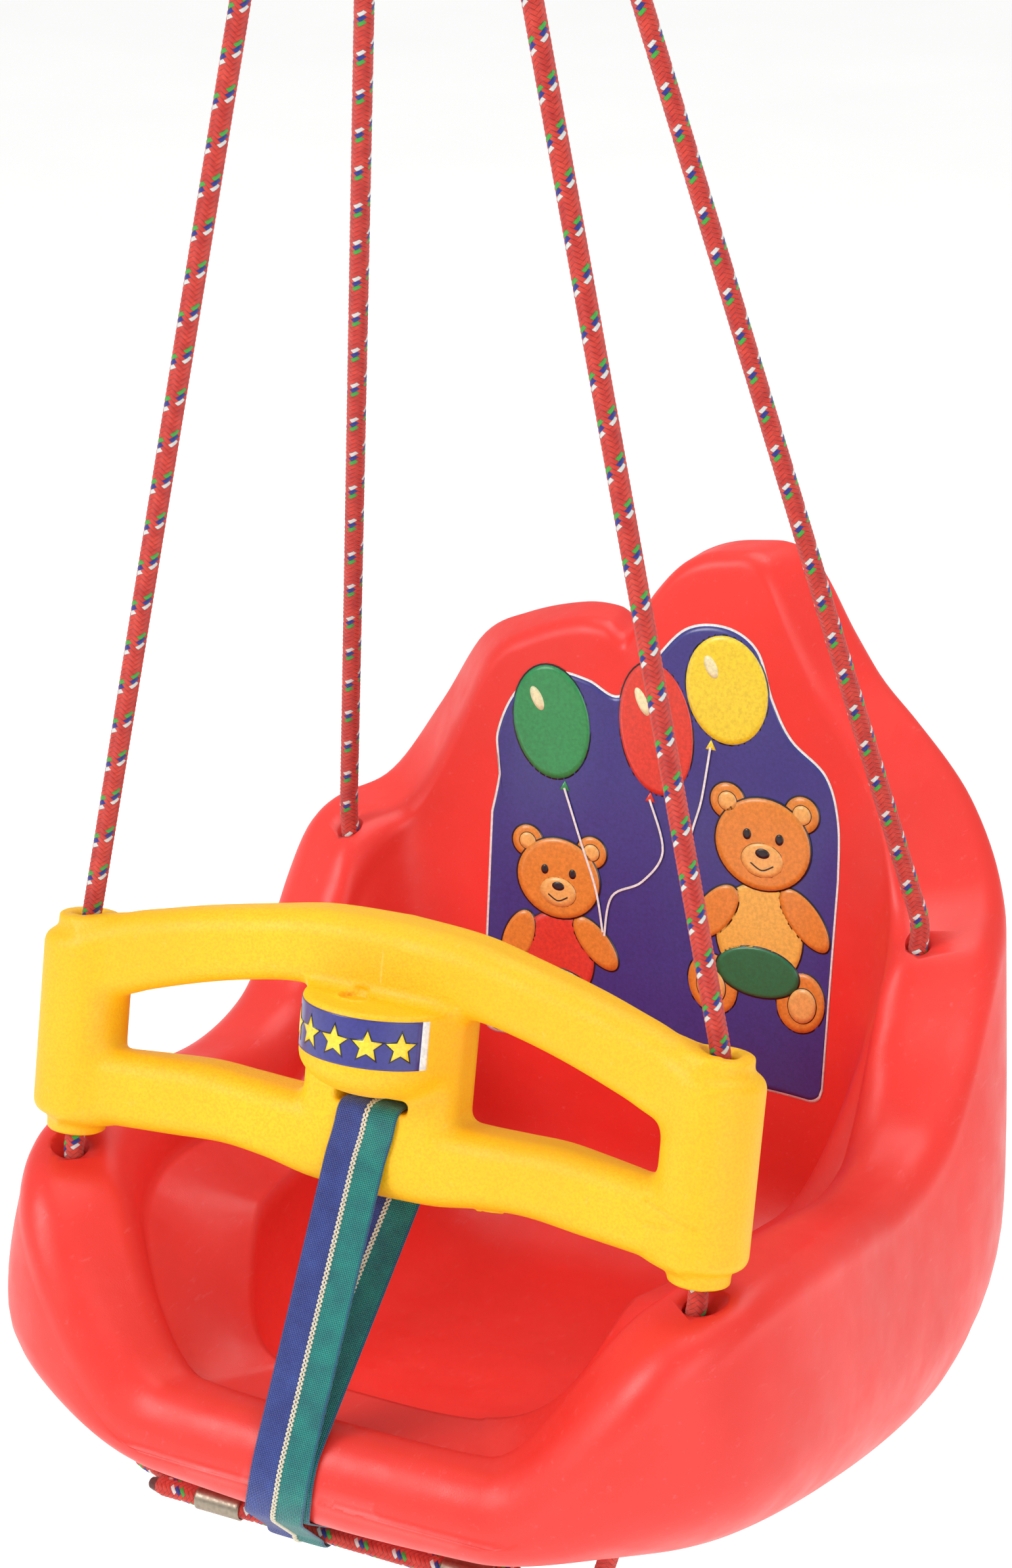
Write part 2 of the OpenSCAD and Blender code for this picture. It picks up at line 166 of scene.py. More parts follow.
def corner_map(quads, across, along):
    """Surface map at the quads' corners, from values round each row and along the rows."""
    i, j = np.divmod(np.arange(len(quads)), len(across) - 1)
    return np.stack([np.stack([across[j + dj], along[i + di]], -1)
                     for di, dj in ((0, 0), (0, 1), (1, 1), (1, 0))], 1)


def added(name, data):
    made = bpy.data.objects.new(name, data)
    bpy.context.scene.collection.objects.link(made)
    return made


def mesh_object(name, points, faces, *materials, slots=None, uv=None, flat=0):
    """Object from seat-frame points in millimetres. Its first flat faces have crisp edges."""
    mesh = bpy.data.meshes.new(name)
    mesh.from_pydata(place(points).tolist(), [], [list(f) for f in faces])
    for material in materials:
        mesh.materials.append(material)
    if slots is not None:
        mesh.polygons.foreach_set("material_index", np.asarray(slots, np.int32))
    if uv is not None:
        layer = mesh.uv_layers.new(name="surface")
        layer.data.foreach_set("uv", np.asarray(uv, np.float32).ravel())
    mesh.polygons.foreach_set("use_smooth", np.arange(len(mesh.polygons)) >= flat)
    mesh.validate()
    mesh.update()
    return added(name, mesh)


def applied(piece):
    """Replaces the piece's mesh with its modifiers' result."""
    depsgraph = bpy.context.evaluated_depsgraph_get()
    piece.data = bpy.data.meshes.new_from_object(piece.evaluated_get(depsgraph))
    piece.modifiers.clear()
    return piece


def stands_for(piece, body, slot, *nodes):
    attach(piece, body)
    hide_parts(*nodes)
    return piece


# ---- materials
def tint(colour, k=1.0):
    """A colour made k times as bright, as red, green, blue and alpha."""
    return tuple(min(1, c * k) for c in colour) + (1,)


class Shader:
    """A node tree with short calls for the nodes that the materials share."""

    def __init__(self, name):
        self.material = bpy.data.materials.new(name)
        self.material.use_nodes = True
        self.tree = self.material.node_tree
        self.bsdf = self.tree.nodes["Principled BSDF"]

    def node(self, kind, **values):
        made = self.tree.nodes.new(kind)
        for key, value in values.items():
            setattr(made, key, value)
        return made

    def plug(self, socket, value):
        if isinstance(value, bpy.types.NodeSocket):
            self.tree.links.new(value, socket)
        else:
            socket.default_value = value

    def set(self, **values):
        for key, value in values.items():
            self.plug(self.bsdf.inputs[key.replace("_", " ")], value)

    def math(self, operation, a, b=0.0, c=0.0):
        made = self.node("ShaderNodeMath", operation=operation)
        for k, value in enumerate((a, b, c)):
            self.plug(made.inputs[k], value)
        return made.outputs[0]

    def blend(self, share, a, b, how="MIX"):
        made = self.node("ShaderNodeMix", data_type="RGBA", blend_type=how)
        self.plug(made.inputs[0], share)
        self.plug(made.inputs[6], a)
        self.plug(made.inputs[7], b)
        return made.outputs[2]

    def ramp(self, value, low, high, start=0.0, end=1.0):
        made = self.node("ShaderNodeMapRange", clamp=True)
        for k, number in enumerate((value, low, high, start, end)):
            self.plug(made.inputs[k], number)
        return made.outputs[0]

    def position(self):
        return self.node("ShaderNodeTexCoord").outputs["Object"]

    def noise(self, scale, detail=3.0, rough=0.5, stretch=None):
        where = self.position()
        if stretch:
            mapping = self.node("ShaderNodeMapping")
            self.plug(mapping.inputs["Vector"], where)
            mapping.inputs["Scale"].default_value = stretch
            where = mapping.outputs[0]
        made = self.node("ShaderNodeTexNoise")
        self.plug(made.inputs["Vector"], where)
        self.plug(made.inputs["Scale"], scale)
        self.plug(made.inputs["Detail"], detail)
        self.plug(made.inputs["Roughness"], rough)
        return made.outputs[0]

    def patches(self, scale, detail=4.0, start=0.0, end=1.0):
        """Noise in soft patches, between two values."""
        return self.ramp(self.noise(scale, detail), 0.3, 0.7, start, end)

    def surface(self):
        """The surface map's two values."""
        split = self.node("ShaderNodeSeparateXYZ")
        self.plug(split.inputs[0], self.node("ShaderNodeUVMap", uv_map="surface").outputs[0])
        return split.outputs[0], split.outputs[1]

    def bump(self, height, distance, under=None):
        made = self.node("ShaderNodeBump")
        self.plug(made.inputs["Height"], height)
        self.plug(made.inputs["Distance"], distance)
        if under is not None:
            self.plug(made.inputs["Normal"], under)
        return made.outputs[0]


def moulded_plastic(name, colour, roughness, grain, grain_depth, ripple_depth, worn, speckle):
    """Moulded plastic with a grain, slow ripples, tone variation, fine scuffs and paler edges."""
    s = Shader(name)
    base = s.blend(s.patches(9.0), tint(colour, 0.86), tint(colour, 1.04))
    edge = s.ramp(s.node("ShaderNodeNewGeometry").outputs["Pointiness"], 0.52, 0.62, 0, worn)
    pale = tint([mix(c, 1.0, 0.45) for c in colour])
    base = s.blend(edge, base, pale)
    scuff = s.ramp(s.noise(260.0, 6.0, 0.7, (1, 0.25, 1)), 0.60, 0.74, 0, 0.12)
    base = s.blend(scuff, base, pale)
    speck = s.ramp(s.noise(grain * 0.8, 3.0, 0.6), 0.42, 0.62, 0, speckle)
    base = s.blend(speck, base, tint(np.array(colour) * (0.92, 0.72, 0.5)))
    mottle = s.patches(45.0, 5.0, roughness - 0.05, roughness + 0.07)
    ripples = s.bump(s.noise(38.0, 2.0), ripple_depth)
    fine = s.bump(s.noise(grain, 2.0), grain_depth, under=ripples)
    s.set(Base_Color=base, Roughness=mottle, Normal=fine, IOR=1.49)
    s.set(Subsurface_Weight=0.06, Subsurface_Radius=tuple(0.004 * c for c in colour), Subsurface_Scale=1.0)
    return s.material


def woven_rope():
    """Sixteen-strand braid: three strands one way are white, blue and green, all others red.
    The surface map holds turns round the rope and lays along it."""
    s = Shader("rope_braid")
    turn, lay = s.surface()
    s_place = s.math("MULTIPLY", s.math("SUBTRACT", turn, lay), STRANDS)
    z_place = s.math("MULTIPLY", s.math("ADD", turn, lay), STRANDS)
    s_index, z_index = (s.math("FLOOR", s.math("ADD", at, 0.5)) for at in (s_place, z_place))
    s_across = s.math("SUBTRACT", s_place, s_index)
    z_across = s.math("SUBTRACT", z_place, z_index)
    over = s.math("LESS_THAN", s.math("FLOORED_MODULO", s.math("ADD", s_index, z_index), 4.0), 1.5)
    across = s.math("ADD", s.math("MULTIPLY", over, s_across),
                    s.math("MULTIPLY", s.math("SUBTRACT", 1.0, over), z_across))
    which = s.math("FLOORED_MODULO", s_index, STRANDS)
    base = s.blend(s.patches(160.0), (0.66, 0.022, 0.015, 1), (0.93, 0.065, 0.035, 1))
    tracers = ((0.0, (0.06, 0.50, 0.05, 1)), (1.0, (0.015, 0.03, 0.34, 1)), (2.0, (0.9, 0.9, 0.86, 1)))
    for number, colour in tracers:
        chosen = s.math("MULTIPLY", over, s.math("COMPARE", which, number, 0.3))
        base = s.blend(chosen, base, colour)
    # Painted shade: each strand darkens towards the gaps beside it, and its yarn grooves darken while
    # their crowns lighten
    gap = s.ramp(s.math("ABSOLUTE", across), 0.36, 0.5, 1.0, 0.30)
    yarn = s.math("SINE", s.math("MULTIPLY", across, 26.0))
    shade = s.math("MULTIPLY", gap, s.ramp(yarn, -1.0, 1.0, 0.84, 1.05))
    base = s.blend(1.0, base, shade, "MULTIPLY")
    fuzz = s.bump(s.noise(2600.0, 3.0), 0.0002)
    s.set(Base_Color=base, Roughness=0.72, Sheen_Weight=0.25, Sheen_Roughness=0.4,
          Normal=s.bump(yarn, 0.00012, under=fuzz))
    return s.material


def plain_cloth(name, colour, weave):
    s = Shader(name)
    base = s.blend(s.patches(700.0), tint(colour, 0.7), tint(colour))
    s.set(Base_Color=base, Roughness=0.8, Sheen_Weight=0.3, Normal=s.bump(s.noise(weave, 2.0), 0.0002))
    return s.material


def webbing_cloth():
    """Woven webbing, blue on one half and teal on the other. The surface map is in millimetres."""
    s = Shader("webbing")
    across, along = s.surface()
    cell = 2 * math.pi / WEAVE_PITCH
    up = s.math("SINE", s.math("MULTIPLY", s.math("ADD", across, along), cell))
    down = s.math("SINE", s.math("MULTIPLY", s.math("SUBTRACT", across, along), cell))
    weave = s.math("MULTIPLY", up, down)
    tone = s.patches(90.0)
    blue = s.blend(tone, (0.025, 0.045, 0.32, 1), (0.045, 0.10, 0.50, 1))
    teal = s.blend(tone, (0.0, 0.24, 0.26, 1), (0.0, 0.40, 0.34, 1))
    half = s.blend(s.math("GREATER_THAN", across, 0.0), blue, teal)
    thread = s.ramp(weave, -0.5, 0.45, 0.28, 1.12)
    base = s.blend(1.0, half, thread, "MULTIPLY")
    selvedge = s.ramp(s.math("ABSOLUTE", across), STRAP_HALF - 1.4, STRAP_HALF - 0.9, 0, 0.5)
    base = s.blend(selvedge, base, (0.02, 0.05, 0.22, 1))
    fuzz = s.bump(s.noise(3000.0, 2.0), 0.0001)
    s.set(Base_Color=base, Roughness=0.62, Sheen_Weight=0.35, Sheen_Roughness=0.35,
          Normal=s.bump(weave, 0.00035, under=fuzz))
    return s.material


def printed_film(name, colour):
    """Glossy printed film with faint ink grain and shallow waves."""
    s = Shader(name)
    tone = s.ramp(s.noise(500.0, 5.0, 0.65), 0.35, 0.65)
    base = s.blend(tone, tint(colour, 0.82), tint(colour, 1.08))
    s.set(Base_Color=base, Roughness=s.patches(60.0, 4.0, 0.30, 0.45), Coat_Weight=0.35,
          Coat_Roughness=0.18, Normal=s.bump(s.noise(30.0, 2.0), 0.0006))
    return s.material


def plated_steel(name, colour, roughness):
    """Zinc-plated steel with spangle, drawn scratches and a little tarnish."""
    s = Shader(name)
    spangle = s.node("ShaderNodeTexVoronoi")
    s.plug(spangle.inputs["Vector"], s.position())
    s.plug(spangle.inputs["Scale"], 420.0)
    tone = s.ramp(spangle.outputs["Distance"], 0.0, 0.7)
    base = s.blend(tone, tint(colour, 0.8), tint(colour))
    tarnish = s.ramp(s.noise(120.0, 6.0, 0.7), 0.52, 0.72, 0, 0.45)
    base = s.blend(tarnish, base, (0.16, 0.12, 0.09, 1))
    scratch = s.noise(900.0, 4.0, 0.6, (1, 1, 0.08))
    s.set(Base_Color=base, Metallic=1.0, Roughness=s.ramp(scratch, 0.3, 0.7, roughness, roughness + 0.2),
          Normal=s.bump(scratch, 0.00006))
    return s.material


SEAT_RED = moulded_plastic("seat_red", (0.88, 0.038, 0.028), 0.40, 1500.0, 0.00007, 0.0008, 0.08, 0.25)
BAR_YELLOW = moulded_plastic("bar_yellow", (1.0, 0.56, 0.002), 0.52, 900.0, 0.00022, 0.0003, 0.04, 0.55)
ROPE = woven_rope()
MELTED = plain_cloth("rope_end", (0.10, 0.02, 0.015), 900.0)
CREAM = plain_cloth("stitching", (0.85, 0.76, 0.58), 2200.0)
WEBBING = webbing_cloth()
STEEL = plated_steel("clip_steel", (0.36, 0.31, 0.24), 0.32)
RING_STEEL = plated_steel("ring_steel", (0.66, 0.66, 0.67), 0.25)


# ---- seat shell
# The shell is a bowl of rings about a vertical axis. Each ring is a rounded outline:
# (half width, front, back, front squareness, back squareness, widening towards the back)
BOWL_Y = 130.0
PAN = (70, 34, 228, 3, 3, 0.12)
FOOT = (120, -14, 286, 3.4, 6.5, 0.2)
RIM_IN = (158, 38 - LIP_REACH, 291, 3.8, 6, 0)
RIM_OUT = (HALF_WIDTH - 11, -LIP_REACH, BACK_REACH - 5, 4.4, 6.5, 0)
BELLY = (HALF_WIDTH, -LIP_REACH, BACK_REACH, 4.4, 5.2, 0)
BASE = (118, -44, BACK_REACH - 44, 2.6, 5.5, 0.72)
ARM_CREST = ((-90, -112), (-50, -84), (-12, -66), (30, -60), (90, -68), (150, -78), (195, -70),
             (222, -44), (240, -16), (256, 6), (275, 15), (310, 18))
BACK_CREST = ((-225, 2), (-192, 12), (-172, 22), (-146, 66), (-124, 107), (-98, 124), (-63, 136),
              (-42, 137), (-27, 132), (-13, 155), (9, 177), (39, 187), (65, 184), (89, 147),
              (105, 124), (125, 104), (150, 78), (171, 50), (190, 22), (225, 2))
CREST_SPREAD = 1.05
UNDERSIDE = ((-66, -212), (20, -232), (120, -252), (220, -262), (320, -266))
CORNER_HEIGHT = ((-66, 30), (-30, 90), (20, 116), (120, 108), (220, 116), (320, 140))
# Roll and fillet sizes at the front, side and back
FOOT_FILLET = (30, 84, 60)
INNER_ROLL = (14, 24, 10)
INNER_ROLL_HEIGHT = (20, 36, 10)
OUTER_ROLL = (22, 18, 14)
OUTER_ROLL_HEIGHT = (30, 16, 14)
# Fall of the pan towards the back, and the heights of the pan's and the underside's middles
PAN_FALL = 24.0
PAN_MIDDLE = -207.0
BASE_MIDDLE = -240.0
CHANNEL_RADIUS = ROPE_RADIUS + 1.7
MOUTH_FLARE = 2.0


def ring_point(ring, a):
    c, s = np.cos(a), np.sin(a)
    reach = np.where(s > 0, ring[2] - BOWL_Y, BOWL_Y - ring[1])
    n = np.where(s > 0, ring[4], ring[3])
    r = (np.abs(c / ring[0]) ** n + np.abs(s / reach) ** n) ** (-1 / n)
    return np.stack([r * c * (1 + ring[5] * r * s / 200), BOWL_Y + r * s], -1)


class WallSection:
    """Everything about the seat's wall at angles a round the bowl."""

    def __init__(self, a):
        self.rim_in, self.rim_out = ring_point(RIM_IN, a), ring_point(RIM_OUT, a)
        self.foot, self.belly = ring_point(FOOT, a), ring_point(BELLY, a)
        self.pan, self.base = ring_point(PAN, a), ring_point(BASE, a)
        crest = (self.rim_in + self.rim_out) / 2
        x, y = crest[:, 0], crest[:, 1]
        front, back = ease(20, -70, y), ease(240, 300, y)
        weights = np.stack([front, 1 - front - back, back])
        self.back = back
        self.pan_z = -PAN_DROP - PAN_FALL * np.clip((self.foot[:, 1] + 14) / 300, 0, 1)
        upper = mix(curve(ARM_CREST, y), curve(BACK_CREST, x * CREST_SPREAD), ease(262, 306, y))
        lip = np.where(y < BOWL_Y, ease(165, 88, np.abs(x)), 0)
        self.crest_z = mix(upper, -LIP_DROP, lip)
        self.base_z = curve(UNDERSIDE, y)
        inside, outside = self.crest_z - self.pan_z, self.crest_z - self.base_z
        self.fillet = np.minimum(np.array(FOOT_FILLET) @ weights, inside * 0.75)
        self.roll_in = np.array(INNER_ROLL) @ weights
        self.roll_in_z = np.minimum(np.array(INNER_ROLL_HEIGHT) @ weights, inside * 0.25)
        self.roll_out = np.array(OUTER_ROLL) @ weights
        self.roll_out_z = np.minimum(np.array(OUTER_ROLL_HEIGHT) @ weights, outside * 0.5)
        self.corner = np.minimum(curve(CORNER_HEIGHT, y), outside * 0.5)

    def point(self, zone, t):
        axis = np.array([0.0, BOWL_Y])
        q = math.pi / 2 * t
        if zone == "pan":
            p, z = mix(axis, self.pan, t), mix(PAN_MIDDLE, self.pan_z, t)
        elif zone == "fillet":
            p = mix(self.foot, self.pan, 1 - math.sin(q))
            z = self.pan_z + self.fillet * (1 - math.cos(q))
        elif zone == "wall":
            p = mix(self.foot, self.rim_in, t)
            z = mix(self.pan_z + self.fillet, self.crest_z - self.roll_in_z, t)
        elif zone == "inner roll":
            p = self.rim_in + unit(self.rim_in - axis) * (self.roll_in * (1 - math.cos(q)))[:, None]
            z = self.crest_z - self.roll_in_z * (1 - math.sin(q))
        elif zone == "outer roll":
            p = self.rim_out - unit(self.rim_out - axis) * (self.roll_out * (1 - math.sin(q)))[:, None]
            z = self.crest_z - self.roll_out_z * (1 - math.cos(q))
        elif zone == "side":
            p = mix(self.rim_out, self.belly, math.sin(q))
            z = mix(self.crest_z - self.roll_out_z, self.base_z + self.corner, t)
        elif zone == "corner":
            p = mix(self.belly, self.base, 1 - math.cos(q))
            z = self.base_z + self.corner * (1 - math.sin(q))
        else:
            p, z = mix(self.base, axis, t), mix(self.base_z, BASE_MIDDLE, t)
        y = p[:, 1] + BACK_LEAN * np.maximum(0, z - self.pan_z) * self.back
        return np.stack([p[:, 0], y, z], -1)


WALL_STEPS = ([("pan", t) for t in (0.02, 0.15, 0.3, 0.45, 0.6, 0.75, 0.88, 1)]
              + [("fillet", k / 12) for k in range(1, 13)]
              + [("wall", k / 16) for k in range(1, 17)]
              + [("inner roll", k / 8) for k in range(1, 9)]
              + [("outer roll", k / 9) for k in range(10)]
              + [("side", k / 18) for k in range(1, 19)]
              + [("corner", k / 14) for k in range(1, 15)]
              + [("underside", t) for t in (0.1, 0.25, 0.4, 0.55, 0.7, 0.85, 0.98)])


def channel_cutter(top, bottom, side):
    """Round cutter for a rope channel, with flared mouths."""
    top, bottom = np.array(top) * (side, 1, 1), np.array(bottom) * (side, 1, 1)
    along = unit(bottom - top)
    length = np.linalg.norm(bottom - top)
    depth = np.concatenate([np.linspace(-22, 6, 15), np.linspace(length - 6, length + 22, 15)])
    inside = np.minimum(depth, length - depth)
    flare = MOUTH_FLARE * np.clip(1 - inside / 4, 0, 1) ** 2
    r = CHANNEL_RADIUS + np.where(inside < 0, MOUTH_FLARE - inside * 0.5, flare)
    across = unit(np.cross(along, (0.3, 1, 0.2)))
    other = np.cross(along, across)
    a = np.radians(np.arange(0, 360, 360 / 40))
    round_about = np.cos(a)[:, None] * across + np.sin(a)[:, None] * other
    rows = top + depth[:, None, None] * along + r[:, None, None] * round_about
    faces = [list(f) for f in grid_faces(len(depth), len(a))]
    faces += [list(range(len(a)))[::-1], list(range((len(depth) - 1) * len(a), len(depth) * len(a)))]
    return mesh_object("cutter", rows.reshape(-1, 3), faces)


def seat_shell():
    count = 480
    wall = WallSection(full_turn(count) - math.pi / 2)
    rows = np.stack([wall.point(zone, t) for zone, t in WALL_STEPS])
    points = rows.reshape(-1, 3)
    quads = grid_faces(len(rows), count)
    last, middle = (len(rows) - 1) * count, len(points)
    points = np.concatenate([points, rows[0].mean(0)[None], rows[-1].mean(0)[None]])
    faces = [list(f) for f in quads]
    faces += [[(k + 1) % count, k, middle] for k in range(count)]
    faces += [[last + k, last + (k + 1) % count, middle + 1] for k in range(count)]
    shell = mesh_object("seat_shell_moulding", points, outward(points, quads, faces), SEAT_RED)
    cutters = [channel_cutter(top, bottom, side) for side in (-1, 1)
               for top, bottom in ((FRONT_HOLE_IN, FRONT_HOLE_OUT), (REAR_HOLE_IN, REAR_HOLE_OUT))]
    for cutter in cutters:
        cut = shell.modifiers.new("channel", "BOOLEAN")
        cut.operation = "DIFFERENCE"
        cut.solver = "EXACT"
        cut.object = cutter
    applied(shell)
    for cutter in cutters:
        bpy.data.objects.remove(cutter)
    return stands_for(shell, "swing", "seat_plastic", "seat_shell")


# ---- guard bar
TOP_EDGE = ((0, 87), (42, 85), (71, 80), (109, 72.5), (132, 67), (146, 63.5), (175, 54))
WINDOW_TOP = ((0, 47), (50, 46.5), (73, 43), (100, 36.5), (132, 26.5), (146, 21), (175, 12))
WINDOW_BOTTOM = ((0, -7), (50, -7.5), (74, -6.4), (98, -5), (122, -6.2), (150, -8), (175, -9))
BOTTOM_EDGE = ((0, -51), (35, -49.2), (60, -45), (85, -43), (115, -45), (146, -47), (175, -49))
BAR_FRONT = -15.0
BAR_BACK = 22.0
WEB_HALF = 42.0
WINDOW_END = 155.0
HUB_Y = -10.0
HUB_BOTTOM = 2.0
HUB_WAIST = 22.0
HUB_TOP = 50.5
SLOT_HALF = 20.0
SLOT_BOTTOM = -5.0
NECK_TOP_RADIUS = 16.0
NECK_BOTTOM_RADIUS = 15.0
SLEEVE_RADIUS = 22.5
SLEEVE_BODY_HALF = 47.0
MARK_RADIUS = 8.5
MARK_DEPTH = 1.5


def soft_max(a, b, k):
    h = np.clip(0.5 + 0.5 * (a - b) / k, 0, 1)
    return b + (a - b) * h + k * h * (1 - h)


def soft_min(a, b, k):
    return -soft_max(-a, -b, k)


def box_2d(x, z, half_x, half_z, corner):
    dx, dz = np.abs(x) - half_x + corner, np.abs(z) - half_z + corner
    return np.hypot(np.maximum(dx, 0), np.maximum(dz, 0)) + np.minimum(np.maximum(dx, dz), 0) - corner


def along_bar(x):
    return np.minimum(np.abs(x) / HALF_SPACING, 1) ** 2


def plate_distance(x, y, z):
    """Both rails and the web between them, with rounded edges and a window on each side."""
    side = np.abs(x)
    outline = soft_max(z - curve(TOP_EDGE, side), curve(BOTTOM_EDGE, side) - z, 2)
    outline = np.maximum(outline, side - HALF_SPACING)
    tall = soft_max(z - curve(WINDOW_TOP, side), curve(WINDOW_BOTTOM, side) - z, 6)
    wide = soft_max(side - WINDOW_END, WEB_HALF - side, 3)
    flat = soft_max(outline, -soft_max(tall, wide, 7), 4) * 0.97
    middle = (BAR_FRONT + BAR_BACK) / 2 - BAR_BOW * 1.2 * along_bar(x)
    half = (BAR_BACK - BAR_FRONT) / 2 - 7.5 * along_bar(x)
    r = np.minimum(12, half - 0.5)
    a, b = flat + r, np.abs(y - middle) - half + r
    return np.hypot(np.maximum(a, 0), np.maximum(b, 0)) - r + np.minimum(np.maximum(a, b), 0)


def hub_distance(x, y, z):
    """Drum with a bowl-shaped underside."""
    from_axis = np.hypot(x, y - HUB_Y)
    drop = np.minimum(z - HUB_WAIST, 0)
    deep = HUB_WAIST - HUB_BOTTOM
    near = np.maximum(np.hypot(from_axis / HUB_RADIUS, drop / deep), 1e-3)
    slope = np.maximum(np.hypot(from_axis / HUB_RADIUS**2, drop / deep**2), 1e-4)
    return soft_max(near * (near - 1) / slope, z - HUB_TOP, 3)


def sleeve_distance(x, y, z):
    to_axis = np.hypot(np.abs(x) - HALF_SPACING, y)
    body = soft_max(to_axis - SLEEVE_RADIUS, np.abs(z) - SLEEVE_BODY_HALF, 7)
    neck = soft_max(to_axis - np.where(z > 0, NECK_TOP_RADIUS, NECK_BOTTOM_RADIUS),
                    np.abs(z) - SLEEVE_HALF, 2)
    return soft_min(body, neck, 5), to_axis


def bar_distance(x, y, z):
    """Distance to the guard bar's surface in its upright frame, negative inside."""
    bar = soft_min(plate_distance(x, y, z), hub_distance(x, y, z), 7)
    sleeve, to_axis = sleeve_distance(x, y, z)
    bar = soft_min(bar, sleeve, 9)
    bore = to_axis - BORE_RADIUS - np.clip(np.abs(z) - SLEEVE_HALF + 2.5, 0, 3)
    bar = soft_max(bar, -bore, 0.8)
    slot_middle, slot_height = (HUB_BOTTOM + SLOT_BOTTOM) / 2, HUB_BOTTOM - SLOT_BOTTOM
    bar = soft_max(bar, -box_2d(x, z - slot_middle, SLOT_HALF, slot_height / 2, 2.5), 2)
    # shallow round mark on top of the hub, with a raised rim
    mark = np.hypot(x + 9, y - HUB_Y + 13) - MARK_RADIUS
    pit = soft_max(mark, np.maximum(HUB_TOP - MARK_DEPTH - z, z - HUB_TOP - 3), 0.6)
    bar = soft_max(bar, -pit, 0.6)
    bar = soft_min(bar, np.hypot(mark, z - HUB_TOP) - 1.0, 0.5)
    # creases where the lower rail meets the right sleeve, and a row of moulding flash under it
    for height, tilt, middle, reach in ((-20, -0.25, 166, 15), (-27, 0.12, 160, 9)):
        crease = np.maximum(np.abs(z - height - tilt * (x - middle)) - 0.8, -bar - 1.0)
        crease = np.maximum(np.maximum(crease, np.abs(x - middle) - reach), y + 4)
        bar = soft_max(bar, -crease, 1.2)
    flash = np.hypot(y + 4 + 0.02 * x, z - curve(BOTTOM_EDGE, np.abs(x)) + 0.2) - 0.9
    flash = np.maximum(flash, np.abs(x - 66) - 7 - 2 * np.sin(x))
    return soft_min(bar, flash, 0.6)


def volume_mesh(distance, low, high, step):
    """Quads over the zero surface of a distance function."""
    axes = [np.arange(a, b + step, step, dtype=np.float32) for a, b in zip(low, high)]
    x, y, z = np.meshgrid(*axes, indexing="ij")
    grid = openvdb.FloatGrid()
    grid.copyFromArray(distance(x, y, z).astype(np.float32))
    points, quads = grid.convertToQuads(isovalue=0.0)
    points = np.asarray(points, float) * step + np.array(low)
    quads = np.asarray(quads, int)
    return points, outward(points, quads, quads)


def guard_bar():
    points, quads = volume_mesh(bar_distance, (-201, -56, -60), (201, 34, 94), 1.0)
    bar = mesh_object("guard_bar_moulding", lean(points), quads, BAR_YELLOW)
    return stands_for(bar, "bar", "bar_plastic", "guard_bar")


# ---- ropes
BIGHT_X = 6.6
BIGHT_RADIUS = WIRE_RADIUS + ROPE_RADIUS + 0.9
BIGHT_Z = RING[2] - math.sqrt(RING_RADIUS**2 - BIGHT_X**2)
RING_CLIP_Z = BIGHT_Z - 38
PAIR_HALF = ROPE_RADIUS + 0.2
RUN_FRONT = (-38.0, -229.0)
RUN_REAR = (236.0, -285.0)
LONG_TAIL = 118.0
SHORT_TAIL = 94.0
LEFT_CLIP_X = -75.0
RIGHT_CLIP_X = 67.0
# Length of a strand's full turn, height up the sleeve where a front leg changes piece, depth of
# the braid's relief and reach of a bend
LAY = 21.5
SPLIT = 38.0
BRAID_RELIEF = 0.6
BEND = 9


def rounded(path, reach):
    """Path with each inner corner replaced by a short curve."""
    path = [np.array(p, float) for p in path]
    out = [path[0]]
    for before, p, after in zip(path, path[1:], path[2:]):
        a, b = before - p, after - p
        start = p + unit(a) * min(reach, np.linalg.norm(a) * 0.45)
        end = p + unit(b) * min(reach, np.linalg.norm(b) * 0.45)
        out += [mix(mix(start, p, t), mix(p, end, t), t) for t in np.linspace(0, 1, 7)]
    return out + [path[-1]]


def resampled(path, step):
    path = np.array(path, float)
    lengths = np.concatenate([[0], np.cumsum(np.linalg.norm(np.diff(path, axis=0), axis=1))])
    count = max(2, int(round(lengths[-1] / step)) + 1)
    s = np.linspace(0, lengths[-1], count)
    return np.stack([np.interp(s, lengths, path[:, k]) for k in range(3)], -1), s


def under_run(side, run, hole, tail):
    """Half of a run under the seat, from the rope's cut end to the hole in the underside."""
    y, z = run[0] - side * PAIR_HALF, run[1]
    return [(-side * tail, y, z), (side * (hole[0] - 28), y, z),
            (side * hole[0], hole[1], hole[2] - 1)]


def lean_axis(side, s):
    """Point on a sleeve's axis, s from its middle."""
    return (side * HALF_SPACING, math.sin(SLEEVE_LEAN) * s, math.cos(SLEEVE_LEAN) * s)


def braid_radius(turn, lay):
    """Radius over the braid, where each strand passes over two and under two."""
    s_place, z_place = STRANDS * (turn - lay), STRANDS * (turn + lay)
    s_index, z_index = np.floor(s_place + 0.5), np.floor(z_place + 0.5)
    over = np.mod(s_index + z_index, 4) < 1.5
    across = np.where(over, s_place - s_index, z_place - z_index)
    along = np.where(over, np.mod(z_place + s_index + 0.5, 4), np.mod(s_place + z_index - 1.5, 4)) / 2
    crown = np.sqrt(np.clip(1 - (1.85 * across) ** 2, 0, 1))
    float_rise = 0.35 + 0.65 * np.sin(math.pi * np.clip(along, 0, 1)) ** 0.6
    return ROPE_RADIUS - BRAID_RELIEF + BRAID_RELIEF * crown * float_rise


